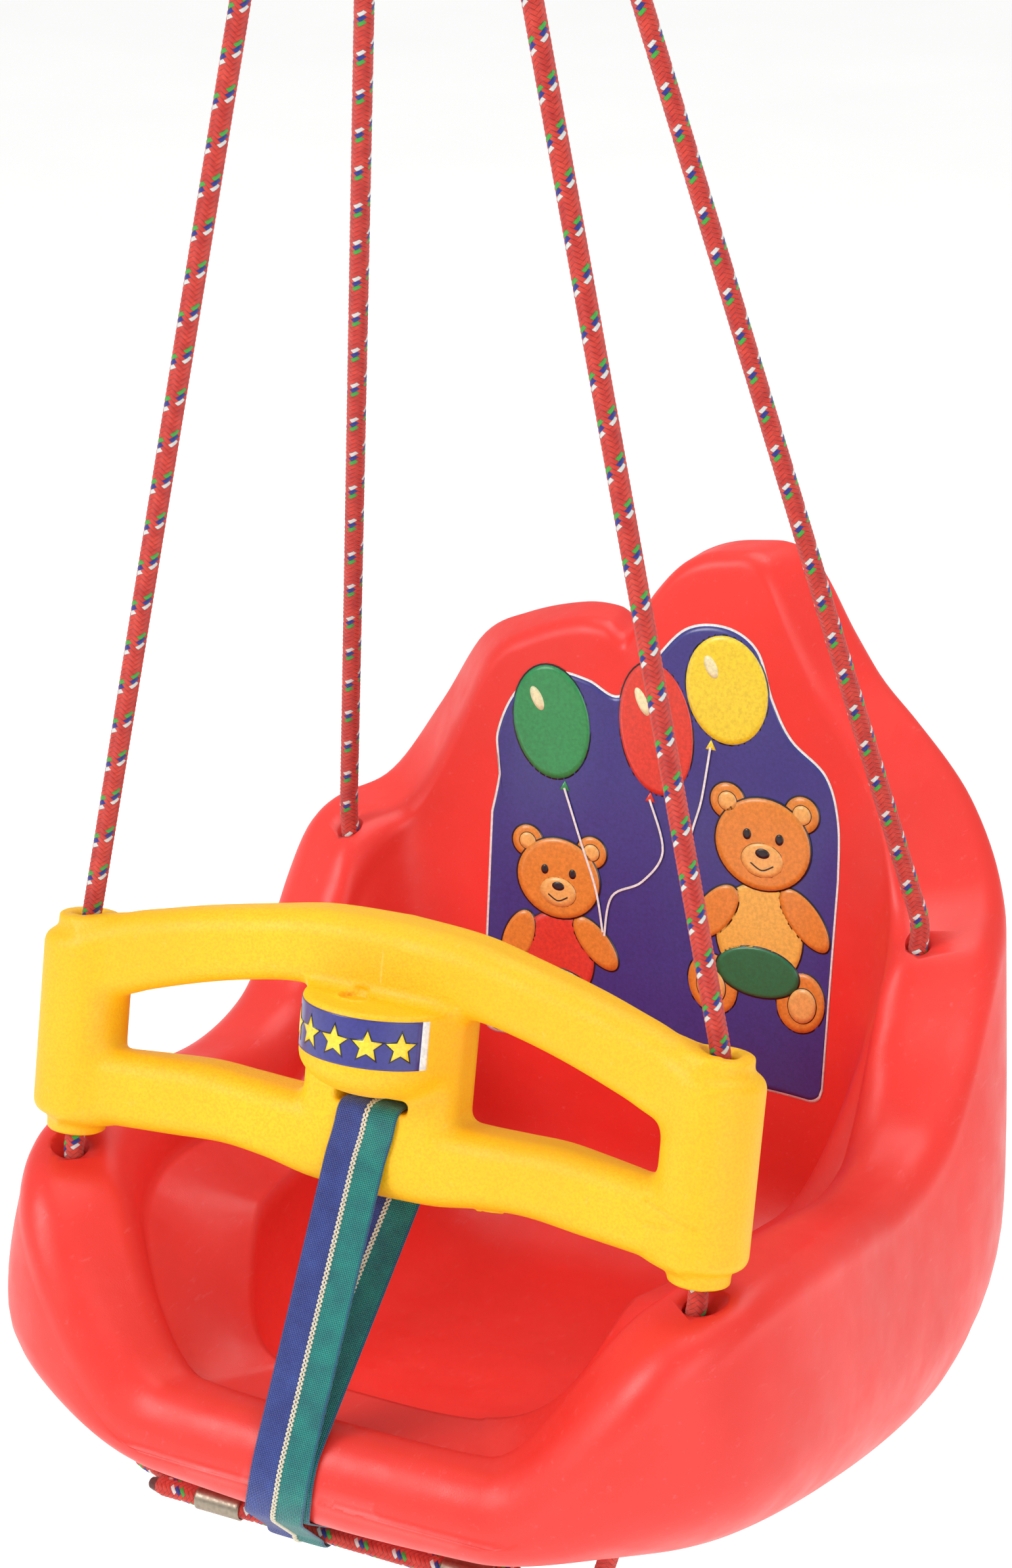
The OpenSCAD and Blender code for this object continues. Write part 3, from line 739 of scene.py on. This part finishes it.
def frames_along(path):
    """Tangent and two crosswise directions that don't twist along the path."""
    tangent = unit(np.gradient(path, axis=0))
    u = np.zeros_like(tangent)
    u[0] = unit(np.cross(tangent[0], (0.37, 0.61, 0.7)))
    for k in range(1, len(path)):
        v = u[k - 1] - tangent[k] * (u[k - 1] @ tangent[k])
        u[k] = v / math.sqrt(v @ v)
    return tangent, u, np.cross(tangent, u)


def rope_piece(name, path, start=0.0, melted=(False, False)):
    """Braided rope along a path. A melted end narrows and darkens."""
    around = 44
    path, s = resampled(path, 0.8)
    tangent, u, v = frames_along(path)
    turn = np.arange(around) / around
    lays = (s + start) / LAY
    r = braid_radius(turn[None, :], lays[:, None])
    for melt, inward in zip(melted, (s, s[-1] - s)):
        length = 9.0 if melt else 1.6
        share = np.clip(inward / length, 0, 1)
        dome = 1 - np.clip(inward / 1.6, 0, 1)
        taper = (0.55 + 0.45 * share if melt else 1) * np.sqrt(1 - dome**2)
        r = r * np.maximum(taper, 0.02)[:, None]
    a = 2 * math.pi * turn
    spokes = np.cos(a)[:, None] * u[:, None] + np.sin(a)[:, None] * v[:, None]
    rows = path[:, None] + r[..., None] * spokes
    quads = grid_faces(len(path), around)
    uv = corner_map(quads, np.arange(around + 1) / around, lays)
    ends = [list(range(around))[::-1], list(range((len(path) - 1) * around, len(path) * around))]
    uv = np.concatenate([uv.reshape(-1, 2), np.zeros((2 * around, 2))])
    inward = np.minimum(np.where(melted[0], s, 1e9), np.where(melted[1], s[-1] - s, 1e9))
    slots = np.concatenate([np.repeat(inward[:-1] < 5, around).astype(int), [1, 1]])
    faces = [list(f) for f in quads] + ends
    return mesh_object(name, rows.reshape(-1, 3), faces, ROPE, MELTED, slots=slots, uv=uv)


def ropes():
    y = RING[1]
    clip_reach = CLIP_LENGTH / 2 + 8
    clip_top, clip_bottom = RING_CLIP_Z + clip_reach, RING_CLIP_Z - clip_reach
    for side, label in SIDES:
        x = side * BIGHT_X
        hole_in = np.array(FRONT_HOLE_IN) * (side, 1, 1)
        rear_in = np.array(REAR_HOLE_IN) * (side, 1, 1)
        front_tail = LONG_TAIL if side > 0 else SHORT_TAIL
        lower = rounded(under_run(side, RUN_FRONT, FRONT_HOLE_OUT, front_tail)
                        + [hole_in, lean_axis(side, -SLEEVE_HALF), lean_axis(side, SPLIT)], BEND)
        front = rounded([lean_axis(side, SPLIT), lean_axis(side, SLEEVE_HALF - 2),
                         (x, y - PAIR_HALF, clip_bottom), (x, y - PAIR_HALF, RING_CLIP_Z)], BEND)
        bight = [(x, y - BIGHT_RADIUS * math.cos(a), BIGHT_Z + BIGHT_RADIUS * math.sin(a))
                 for a in np.radians(np.arange(0, 181, 7.5))]
        into_ring = [(x, y - PAIR_HALF, RING_CLIP_Z), (x, y - PAIR_HALF, clip_top), bight[0]]
        down = [bight[-1], (x, y + PAIR_HALF, clip_top), (x, y + PAIR_HALF, clip_bottom), rear_in]
        down += under_run(side, RUN_REAR, REAR_HOLE_OUT, SHORT_TAIL)[::-1]
        rear = rounded(into_ring, BEND)[:-1] + bight + rounded(down, BEND)[1:]
        pieces = (rope_piece(label + "_rope_lower", lower, 0.0, (True, False)),
                  rope_piece(label + "_rope_front", front, 7.0),
                  rope_piece(label + "_rope_rear", rear, 3.0, (False, True)))
        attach(pieces[0], "swing")
        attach(pieces[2], "swing")
        start = place(lean_axis(side, SLEEVE_HALF))
        end = place((x, y - PAIR_HALF, clip_bottom))
        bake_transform(pieces[1])
        for piece in pieces:
            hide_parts(label + "_rope")


# ---- clips and ring
def pair_outline(r, count):
    """Round-ended outline about two ropes side by side along y."""
    a = np.radians(np.arange(count) * 360 / count)
    y = r * np.sin(a) + PAIR_HALF * np.sign(np.sin(a)) * np.minimum(1, np.abs(np.sin(a)) * 3)
    return np.stack([r * np.cos(a), y], -1)


def clip(name, centre, direction):
    """Crimped band round two ropes, with dents pressed into both faces."""
    count, bevel = 72, 0.4
    half = CLIP_LENGTH / 2
    inner, outer = ROPE_RADIUS + 0.15, ROPE_RADIUS + 0.15 + CLIP_WALL
    end = [(half - bevel, outer), (half, outer - bevel), (half, inner + bevel), (half - bevel, inner)]
    profile = [(-z, r) for z, r in end[::-1]]
    profile += [(z, outer) for z in np.linspace(-half + 3 * bevel, half - 3 * bevel, 27)] + end
    rows = []
    for z, r in profile:
        ring = pair_outline(r, count)
        if r == outer:
            dent = sum(math.exp(-((z - c) / 2.6) ** 2) for c in (-CLIP_DENT, CLIP_DENT))
            waist = np.exp(-(ring[:, 1] / 2.4) ** 2)
            ring[:, 0] -= np.sign(ring[:, 0]) * 0.75 * dent * waist
        rows.append(np.column_stack([ring, np.full(count, z)]))
    rows = np.array(rows)
    if direction == "x":
        rows = np.stack([rows[..., 2], rows[..., 1], -rows[..., 0]], -1)
    quads = grid_faces(len(rows), count, close_rows=True)
    points = rows.reshape(-1, 3) + np.array(centre)
    return mesh_object(name, points, outward(points, quads, quads), STEEL)


def clips():
    for side, label in SIDES:
        piece = clip(label + "_ring_clip", (side * BIGHT_X, RING[1], RING_CLIP_Z), "z")
        stands_for(piece, "swing", "clip_steel", "ring_clips")
    for end, run in (("front", RUN_FRONT), ("rear", RUN_REAR)):
        for label, x in (("left", LEFT_CLIP_X), ("right", RIGHT_CLIP_X)):
            piece = clip(f"{label}_{end}_clip", (x, *run), "x")
            stands_for(piece, "swing", "clip_steel", f"{end}_rope_clips")


def hanging_ring():
    """Bent and butt-welded round wire: the weld at the top is a rough bead."""
    major, minor = 180, 32
    a, b = full_turn(major), full_turn(minor)
    rng = np.random.default_rng(5)
    lumps = np.convolve(np.tile(rng.normal(0, 1, major), 3), np.hanning(7) / 3.5, "same")[major:2 * major]
    weld = np.exp(-((a - math.pi / 2) / 0.10) ** 2)
    r = WIRE_RADIUS + (0.75 + 0.35 * lumps) * weld
    out = RING_RADIUS + r[:, None] * np.cos(b)
    rows = np.stack([out * np.cos(a)[:, None], np.broadcast_to(r[:, None] * np.sin(b), out.shape),
                     out * np.sin(a)[:, None]], -1)
    points, quads = rows.reshape(-1, 3) + RING, grid_faces(major, minor, close_rows=True)
    piece = mesh_object("welded_ring", points, outward(points, quads, quads), RING_STEEL)
    return stands_for(piece, "ring", "ring_steel", "hanging_ring")


# ---- crotch strap
STRAP_GAP = 0.7
STITCH_PITCH = 4.6
CORD_RADIUS = 0.62
# Sideways place of the strap's middle against its height, for its front leg and its rear leg
FRONT_DRIFT = ((-236, -28), (-224, -27), (-205, -20), (-185, -14), (-168, -12), (-145, -12),
               (-120, -10), (-96, -7.7), (-72, -6.1), (-36, -5.5), (-24, -4.3), (-10, -1), (20, 1))
REAR_DRIFT = ((-236, -28), (-224, -25), (-205, -17), (-185, -12), (-150, -10), (-130, -8.5),
              (-108, -4), (-87, 0), (-60, 1), (20, 1))


def lean_2d(y, z):
    """The bar's upright y and z to the seat frame's."""
    c, s = math.cos(SLEEVE_LEAN), math.sin(SLEEVE_LEAN)
    return (y * c + z * s, z * c - y * s)


def lip_point(q, d):
    """Point on the strap's way over the lip's outer roll, d off it and q degrees round it."""
    q = math.radians(q)
    roll, rise = OUTER_ROLL[0], OUTER_ROLL_HEIGHT[0]
    return (roll - LIP_REACH - (roll + d) * math.sin(q), -LIP_DROP - rise + (rise + d) * math.cos(q))


def round_rope(y, start, end):
    r = (ROPE_RADIUS + STRAP_GAP) / math.cos(math.radians(15))
    return [(y + r * math.cos(q), RUN_FRONT[1] + r * math.sin(q))
            for q in np.radians(np.linspace(start, end, 5))]


def strap_faces(path):
    """Direction away from the inside of the strap's loop, at each point of its closed path."""
    along = unit((np.roll(path, -1, 0) - np.roll(path, 1, 0)) * (0, 1, 1))
    return np.stack([np.zeros(len(path)), along[:, 2], -along[:, 1]], -1)


def strap_path():
    """Middle line of the strap's closed loop: over the lower rail, down over the lip, round the
    front rope run and back up behind the rail."""
    chamfer = 3.0
    front, back = BAR_FRONT - STRAP_GAP, BAR_BACK + STRAP_GAP
    over, on_lip = SLOT_BOTTOM + STRAP_GAP, STRAP_GAP + STRAP_THICKNESS
    front_rope, rear_rope = RUN_FRONT[0] - PAIR_HALF, RUN_FRONT[0] + PAIR_HALF
    top = lean_2d((front + back) / 2, over)
    down = [top, lean_2d(front + chamfer, over), lean_2d(front, over - chamfer)]
    down += [lean_2d(front, -17), lean_2d(front, -30)]
    down += [lip_point(q, on_lip + 0.4) for q in np.arange(58, 116, 11.5)]
    down += round_rope(front_rope, 180, 270) + round_rope(rear_rope, 270, 450)
    up = round_rope(front_rope, 90, 120) + [lip_point(q, on_lip) for q in np.arange(115, 42, -12)]
    up += [lean_2d(back, -42), lean_2d(back, -17), lean_2d(back, over - chamfer),
           lean_2d(back - chamfer, over), top]
    path = [(curve(FRONT_DRIFT, z), y, z) for y, z in down]
    path += [(curve(REAR_DRIFT, z), y, z) for y, z in up]
    path, _ = resampled(rounded(path, 4), 1.0)
    out = strap_faces(path)
    out[0] = out[-1] = (0, 0, 1)
    return path + out * STRAP_THICKNESS / 2


def stitching(path):
    """On each face, two cords that cross over each other along the strap's middle."""
    path, s = resampled(np.concatenate([path, path[:1]]), 0.5)
    path, s = path[:-1], s[:-1]
    out = strap_faces(path)
    pitch = s[-1] / round(s[-1] / STITCH_PITCH)
    b = full_turn(8)
    thread = CORD_RADIUS * (np.cos(b)[:, None] * SIDEWAYS + np.sin(b)[:, None] * out[:, None])
    points, quads = [], []
    for k, (face, phase) in enumerate(((1, 0), (1, math.pi), (-1, 0), (-1, math.pi))):
        swing = 2 * math.pi * s / pitch + phase
        rise = face * (STRAP_THICKNESS / 2 + 0.15 + 0.25 * np.cos(swing))
        middle = path + np.outer(np.sin(swing), SIDEWAYS) + out * rise[:, None]
        points.append((middle[:, None] + thread).reshape(-1, 3))
        quads.append(grid_faces(len(path), len(b), close_rows=True) + k * len(path) * len(b))
    return np.concatenate(points), np.concatenate(quads)


def crotch_strap():
    path, s = resampled(strap_path(), 2.0)
    path, step = path[:-1], s[1]
    a = full_turn(40)
    across = STRAP_HALF * np.sign(np.cos(a)) * np.abs(np.cos(a)) ** 0.35
    through = STRAP_THICKNESS / 2 * np.sign(np.sin(a)) * np.abs(np.sin(a)) ** 0.6
    rows = path[:, None] + across[:, None] * SIDEWAYS + through[:, None] * strap_faces(path)[:, None]
    quads = grid_faces(len(path), len(a), close_rows=True)
    uv = corner_map(quads, np.append(across, across[0]), np.arange(len(path) + 1) * step)
    points = rows.reshape(-1, 3)
    uv = np.reshape(outward(points, quads, uv), (-1, 2))
    faces = outward(points, quads, quads)
    pieces = [mesh_object("crotch_strap_webbing", points, faces, WEBBING, uv=uv),
              mesh_object("crotch_strap_stitching", *stitching(path), CREAM)]
    top, bottom = (0, *lean_2d(0, -36)), (0, -70, -LIP_DROP)
    for piece in pieces:
        tuple(place(bottom))
        tuple(place(top))
        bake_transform(piece)
        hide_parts("crotch_strap")


# ---- back decal
DECAL_TOP = ((-101, 20), (-97, 45), (-99, 66), (-88, 92), (-66, 106), (-45, 105), (-26, 99), (-9, 119),
             (12, 143), (36, 148), (55, 138), (65, 112), (77, 92), (98, 76), (107, 52), (109, 20))
DECAL_CORNER = 9.0
DECAL_BOTTOM = -110.0
DECAL_LEFT = -103.0
DECAL_RIGHT = 106.0
# Height of the lowest film off the wall, rise from one layer to the next, and a film's depth
FILM_GAP = 0.35
FILM_STEP = 0.14
FILM_DEPTH = 0.3


def spline(points, per_span):
    """Smooth line through a few points."""
    p = np.array(points, float)
    out = []
    for k in range(len(p) - 1):
        a, b, c, d = p[[min(max(k + o, 0), len(p) - 1) for o in (-1, 0, 1, 2)]]
        for t in np.arange(per_span) / per_span:
            square, cube = 2 * a - 5 * b + 4 * c - d, 3 * b - a - 3 * c + d
            out.append(0.5 * (2 * b + (c - a) * t + square * t * t + cube * t**3))
    return np.array(out + [p[-1]])


def ellipse(x, z, rx, rz, turn=0.0, count=40):
    a = full_turn(count)
    c, s = math.cos(math.radians(turn)), math.sin(math.radians(turn))
    px, pz = rx * np.cos(a), rz * np.sin(a)
    return np.stack([x + px * c - pz * s, z + px * s + pz * c], -1)


class Wall:
    """The seat's inner back wall, as its depth y at a given x and z."""

    def __init__(self, shell):
        mesh = shell.data
        verts = [v.co.copy() for v in mesh.vertices]
        self.tree = BVHTree.FromPolygons(verts, [p.vertices[:] for p in mesh.polygons])

    def depth(self, x, z):
        start = Vector(place((x, 120.0, z)))
        hit = self.tree.ray_cast(start, Vector((0, 1, 0)))[0]
        return hit.y / MM + RING[1]


def film_mesh(name, outline, rings, surface, material):
    """Thin closed film inside an outline. surface(points, behind) puts the outline's flat points
    on the object, some way behind the film's face."""
    outline = np.array(outline, float)
    centre, count = outline.mean(0), len(outline)
    flat = [mix(centre, outline, 1 - k / rings) for k in range(rings)]
    rows = np.array([surface(flat[0], True)] + [surface(ring, False) for ring in flat])
    tips = [surface(centre[None], behind)[0] for behind in (False, True)]
    points = np.concatenate([rows.reshape(-1, 3), tips])
    last = (len(rows) - 1) * count
    faces = [list(f) for f in grid_faces(len(rows), count)]
    faces += [[last + k, last + (k + 1) % count, len(points) - 2] for k in range(count)]
    faces += [[(k + 1) % count, k, len(points) - 1] for k in range(count)]
    if np.cross(outline - centre, np.roll(outline, -1, 0) - centre).sum() < 0:
        faces = [f[::-1] for f in faces]
    return mesh_object(name, points, faces, material, flat=count)


def film(name, wall, outline, layer, material):
    """Film on the wall. Layers stack towards the child."""
    gap = FILM_GAP + layer * FILM_STEP
    depth = min(gap, FILM_DEPTH + FILM_STEP)

    def on_wall(flat, behind):
        return [(x, wall.depth(x, z) - gap + depth * behind, z) for x, z in flat]

    rings = max(2, int(np.ptp(np.array(outline, float), axis=0).max() / 6))
    return film_mesh(name, outline, rings, on_wall, material)


def cord(name, wall, path, layer, width, material):
    """Printed line of a given width."""
    line = spline(path, 8)
    along = unit(np.gradient(line, axis=0))
    across = np.stack([-along[:, 1], along[:, 0]], -1) * width / 2
    gap = FILM_GAP + layer * FILM_STEP
    rows = []
    for p, d in zip(line, across):
        a, b = p + d, p - d
        ya, yb = wall.depth(*a) - gap, wall.depth(*b) - gap
        rows.append([(a[0], ya, a[1]), (b[0], yb, b[1]),
                     (b[0], yb + FILM_DEPTH, b[1]), (a[0], ya + FILM_DEPTH, a[1])])
    points = np.array(rows).reshape(-1, 3)
    quads = grid_faces(len(rows), 4)
    faces = [list(f) for f in quads] + [[3, 2, 1, 0], [len(points) - 4 + k for k in range(4)]]
    return mesh_object(name, points, outward(points, quads, faces), material, flat=len(faces))


INK = {
    "blue": (0.040, 0.038, 0.245),
    "white": (0.86, 0.86, 0.84),
    "black": (0.012, 0.010, 0.014),
    "green": (0.020, 0.300, 0.085),
    "dark_green": (0.010, 0.170, 0.060),
    "red": (0.760, 0.050, 0.030),
    "yellow": (0.950, 0.700, 0.030),
    "gold": (0.900, 0.500, 0.080),
    "fur": (0.800, 0.270, 0.035),
    "pale_fur": (0.920, 0.480, 0.130),
    "shine": (0.900, 0.850, 0.500),
}
INKS = {}


def ink(name):
    if name not in INKS:
        INKS[name] = printed_film("ink_" + name, INK[name])
    return INKS[name]


def decal_sheet(name, wall, layer, material, inset=0.0):
    """The whole decal as a fine closed sheet of columns between its bottom edge and its top edge."""
    top = spline(DECAL_TOP, 9)
    along = unit(np.gradient(top, axis=0))
    top = top + inset * np.stack([along[:, 1], -along[:, 0]], -1)
    left, right = DECAL_LEFT + inset, DECAL_RIGHT - inset
    x = np.linspace(left, right, len(top))
    from_end = np.minimum(x - left, right - x)
    into_corner = np.clip(DECAL_CORNER - from_end, 0, DECAL_CORNER)
    z = DECAL_BOTTOM + inset + DECAL_CORNER - np.sqrt(DECAL_CORNER**2 - into_corner**2)
    bottom = np.stack([x, z], -1)
    levels = 64
    gap, count = FILM_GAP + layer * FILM_STEP, len(top)
    flat = [mix(bottom, top, k / levels) for k in range(levels + 1)]
    face = np.array([[(px, wall.depth(px, pz), pz) for px, pz in row] for row in flat])
    near, far = face - (0, gap, 0), face - (0, 0.05, 0)
    points = np.concatenate([near, far[:, ::-1]], 1).reshape(-1, 3)
    width = 2 * count
    quads = grid_faces(levels + 1, width)
    faces = [list(f) for f in quads]
    for first, turn in ((0, 1), (levels * width, -1)):
        for c in range(count - 1):
            cap = [first + c, first + width - 1 - c, first + width - 2 - c, first + c + 1]
            faces.append(cap[::turn])
    return mesh_object(name, points, outward(points, quads, faces), material)


def balloon(tag, wall, x, z, rx, rz, turn, colour, string):
    name = "decal_balloon_" + tag
    kx, kz = string[0]
    knot = [(kx + 3, kz - 1.5), (kx - 3, kz - 1.5), (kx, kz + 4)]
    shine = ellipse(x - rx * 0.4, z + rz * 0.38, rx * 0.14, rz * 0.22, turn + 20)
    return [film(name + "_line", wall, ellipse(x, z, rx + 0.9, rz + 0.9, turn), 1, ink("black")),
            film(name, wall, ellipse(x, z, rx, rz, turn), 2, ink(colour)),
            film(name + "_shine", wall, shine, 3, ink("shine")),
            film(name + "_knot", wall, knot, 3, ink(colour)),
            cord(name + "_string", wall, string, 8, 1.2, ink("white"))]


# A bear's parts, in its head's half widths: name, middle, half sizes, ink, layer, turn in degrees
# and width of the dark outline. A part with braces in its name is on both sides.
BEAR = (("foot_{}", 0.95, -3.05, 0.52, 0.62, "fur", 1, -15, 0.9),
        ("body", 0, -1.85, 0.92, 1.05, "vest", 2, 0, 0.9),
        ("shorts", 0, -2.62, 0.88, 0.50, "shorts", 3, 0, 0.9),
        ("arm_far", -0.95, -1.55, 0.34, 0.68, "fur", 3, 0, 0.9),
        ("arm_near", 0.95, -1.35, 0.34, 0.72, "fur", 3, 45, 0.9),
        ("sole_{}", 0.98, -3.10, 0.30, 0.36, "pale_fur", 3, -15, 0.5),
        ("ear_{}", 0.78, 0.74, 0.36, 0.36, "fur", 3, 0, 0.9),
        ("ear_{}_inner", 0.78, 0.74, 0.19, 0.19, "pale_fur", 5, 0, 0.4),
        ("head", 0, 0, 1.0, 0.92, "fur", 5, 0, 0.9),
        ("muzzle", 0, -0.32, 0.44, 0.34, "pale_fur", 6, 0, 0.3))
FACE = (("eye_left", -0.34, 0.16, 0.085, 0.11), ("eye_right", 0.34, 0.16, 0.085, 0.11),
        ("nose", 0, -0.18, 0.15, 0.10))
SMILE = ((-0.24, -0.40), (0, -0.52), (0.24, -0.40))


def teddy(tag, wall, x, z, size, clothes, far_arm):
    """A plain sitting toy bear of round shapes, size its head's half width."""
    k = size
    made = []
    for part, bx, bz, rx, rz, colour, layer, turn, line in BEAR:
        turn = far_arm if part == "arm_far" else turn
        for side, label in SIDES if "{}" in part else ((1, ""),):
            name = f"decal_{tag}_" + part.format(label)
            cx, cz = x + side * bx * k, z + bz * k
            ring = ellipse(cx, cz, rx * k + line, rz * k + line, side * turn)
            inner = ellipse(cx, cz, rx * k, rz * k, side * turn)
            made.append(film(name + "_line", wall, ring, layer, ink("black")))
            made.append(film(name, wall, inner, layer + 1, ink(clothes.get(colour, colour))))
    for part, bx, bz, rx, rz in FACE:
        spot = ellipse(x + bx * k, z + bz * k, rx * k, rz * k, 0, 24)
        made.append(film(f"decal_{tag}_{part}", wall, spot, 8, ink("black")))
    smile = [(x + bx * k, z + bz * k) for bx, bz in SMILE]
    made.append(cord(f"decal_{tag}_smile", wall, smile, 8, 0.8, ink("black")))
    return made


def back_decal(shell):
    wall = Wall(shell)
    made = [decal_sheet("back_decal_border", wall, 0, ink("white")),
            decal_sheet("back_decal_print", wall, 1, ink("blue"), 1.3)]
    green_string = ((-57, 41), (-46, 12), (-36, -14), (-31, -38))
    red_string = ((-5, 44), (4, 16), (-8, -4), (-26, -16), (-30, -40))
    yellow_string = ((30, 80), (26, 50), (20, 20), (30, -10))
    made += balloon("green", wall, -66, 77, 23, 32, 8, "green", green_string)
    made += balloon("red", wall, -3, 84, 22, 37, 8, "red", red_string)
    made += balloon("yellow", wall, 38, 113, 24, 30, 8, "yellow", yellow_string)
    made += teddy("left_bear", wall, -59, -12, 25, {"vest": "red", "shorts": "white"}, -20)
    made += teddy("right_bear", wall, 63, 31, 28, {"vest": "gold", "shorts": "dark_green"}, -35)
    for piece in made:
        stands_for(piece, "swing", "sticker", "back_decal")


# ---- hub decal
HUB_FILM_GAP = 0.25
HUB_FILM_STEP = 0.12
STAR_RADIUS = 7.6
STAR_LINE = 1.6


def hub_film(name, outline, layer, material):
    """Film on the hub. The outline is in degrees round the hub and millimetres up."""
    radius = HUB_RADIUS + HUB_FILM_GAP + layer * HUB_FILM_STEP

    def on_hub(flat, behind):
        a, r = np.radians(flat[:, 0]), radius - FILM_DEPTH * behind
        return lean(np.stack([r * np.sin(a), HUB_Y - r * np.cos(a), flat[:, 1]], -1))

    rings = max(2, int(np.ptp(np.array(outline, float)[:, 0]) / 8))
    return film_mesh(name, outline, rings, on_hub, material)


def band(low, high, bottom, top, step=4.0):
    """Outline of a band in degrees and millimetres."""
    a = np.arange(low, high + 0.1, step)
    return ([(x, bottom) for x in a] + [(high, z) for z in np.linspace(bottom, top, 6)[1:-1]]
            + [(x, top) for x in a[::-1]] + [(low, z) for z in np.linspace(top, bottom, 6)[1:-1]])


def star(a, z, r):
    out = []
    for k in range(10):
        q, radius = math.radians(90 + 36 * k), r if k % 2 == 0 else r * 0.45
        out.append((a + math.degrees(radius * math.cos(q) / HUB_RADIUS), z + radius * math.sin(q)))
    return out


def hub_decal():
    bottom, top = 24.0, 48.0
    made = [hub_film("hub_decal_band", band(-70, 58, bottom, top), 0, ink("blue")),
            hub_film("hub_decal_stripe", band(58, 64, bottom, top, 2.0), 0, ink("white"))]
    middle = (bottom + top) / 2
    for k, a in enumerate((-56, -31, -6, 19, 43)):
        name, line = f"hub_decal_star_{k}", star(a, middle - 1, STAR_RADIUS + STAR_LINE)
        made.append(hub_film(name + "_line", line, 1, ink("black")))
        made.append(hub_film(name, star(a, middle - 1, STAR_RADIUS), 2, ink("yellow")))
    for piece in made:
        stands_for(piece, "bar", "sticker", "hub_decal")


# ---- build
shell = seat_shell()
guard_bar()
ropes()
clips()
hanging_ring()
crotch_strap()
back_decal(shell)
hub_decal()


# ---- stage, lights and camera
def floor():
    s = Shader("floor")
    s.set(Base_Color=s.blend(s.patches(3.0), (0.80, 0.80, 0.79, 1), (0.84, 0.84, 0.83, 1)), Roughness=0.85,
          Normal=s.bump(s.noise(60.0, 4.0), 0.0004),
          Emission_Color=(1, 1, 1, 1), Emission_Strength=0.55)
    height, size = cad_box[0].z - 0.30, 30.0
    mesh = bpy.data.meshes.new("floor")
    corners = [(x * size, y * size, height) for x, y in ((-1, -1), (1, -1), (1, 1), (-1, 1))]
    mesh.from_pydata(corners, [], [(0, 1, 2, 3)])
    mesh.materials.append(s.material)
    added("floor", mesh)


def facing(where, target):
    return (Vector(target) - Vector(where)).to_track_quat("-Z", "Y")


def area_light(name, where, target, size, power):
    light = bpy.data.lights.new(name, "AREA")
    light.shape = "DISK"
    light.size = size
    light.energy = power
    made = added(name, light)
    made.location = where
    made.rotation_euler = facing(where, target).to_euler()


def studio():
    """Soft white surroundings that look pure white straight behind the object."""
    world = bpy.data.worlds.new("studio")
    world.use_nodes = True
    tree = world.node_tree
    seen = tree.nodes.new("ShaderNodeMapRange")
    tree.links.new(seen.inputs[0], tree.nodes.new("ShaderNodeLightPath").outputs["Is Camera Ray"])
    seen.inputs[3].default_value, seen.inputs[4].default_value = 0.45, 1.0
    tree.links.new(tree.nodes["Background"].inputs[1], seen.outputs[0])
    tree.nodes["Background"].inputs[0].default_value = (1.0, 1.0, 1.0, 1)
    bpy.context.scene.world = world


def camera(where, target, roll):
    data = bpy.data.cameras.new("camera")
    data.sensor_width = 36.0
    data.lens = 98.0
    made = added("camera", data)
    made.location = where
    made.rotation_mode = "QUATERNION"
    made.rotation_quaternion = facing(where, target) @ Quaternion((0, 0, 1), roll)
    bpy.context.scene.camera = made


floor()
seat_middle = tuple(place((0, 120, -20)))
area_light("key", (-1.9, -2.2, 0.9), seat_middle, 1.6, 60)
area_light("fill", (2.4, -1.6, -0.1), seat_middle, 2.0, 26)
area_light("top", (0.2, 0.6, 1.4), seat_middle, 2.2, 32)
studio()
bpy.context.scene.view_settings.view_transform = "Standard"
camera((0.937, -1.644, -0.015), (0.0676, -0.029, -0.7598), math.radians(-0.36))
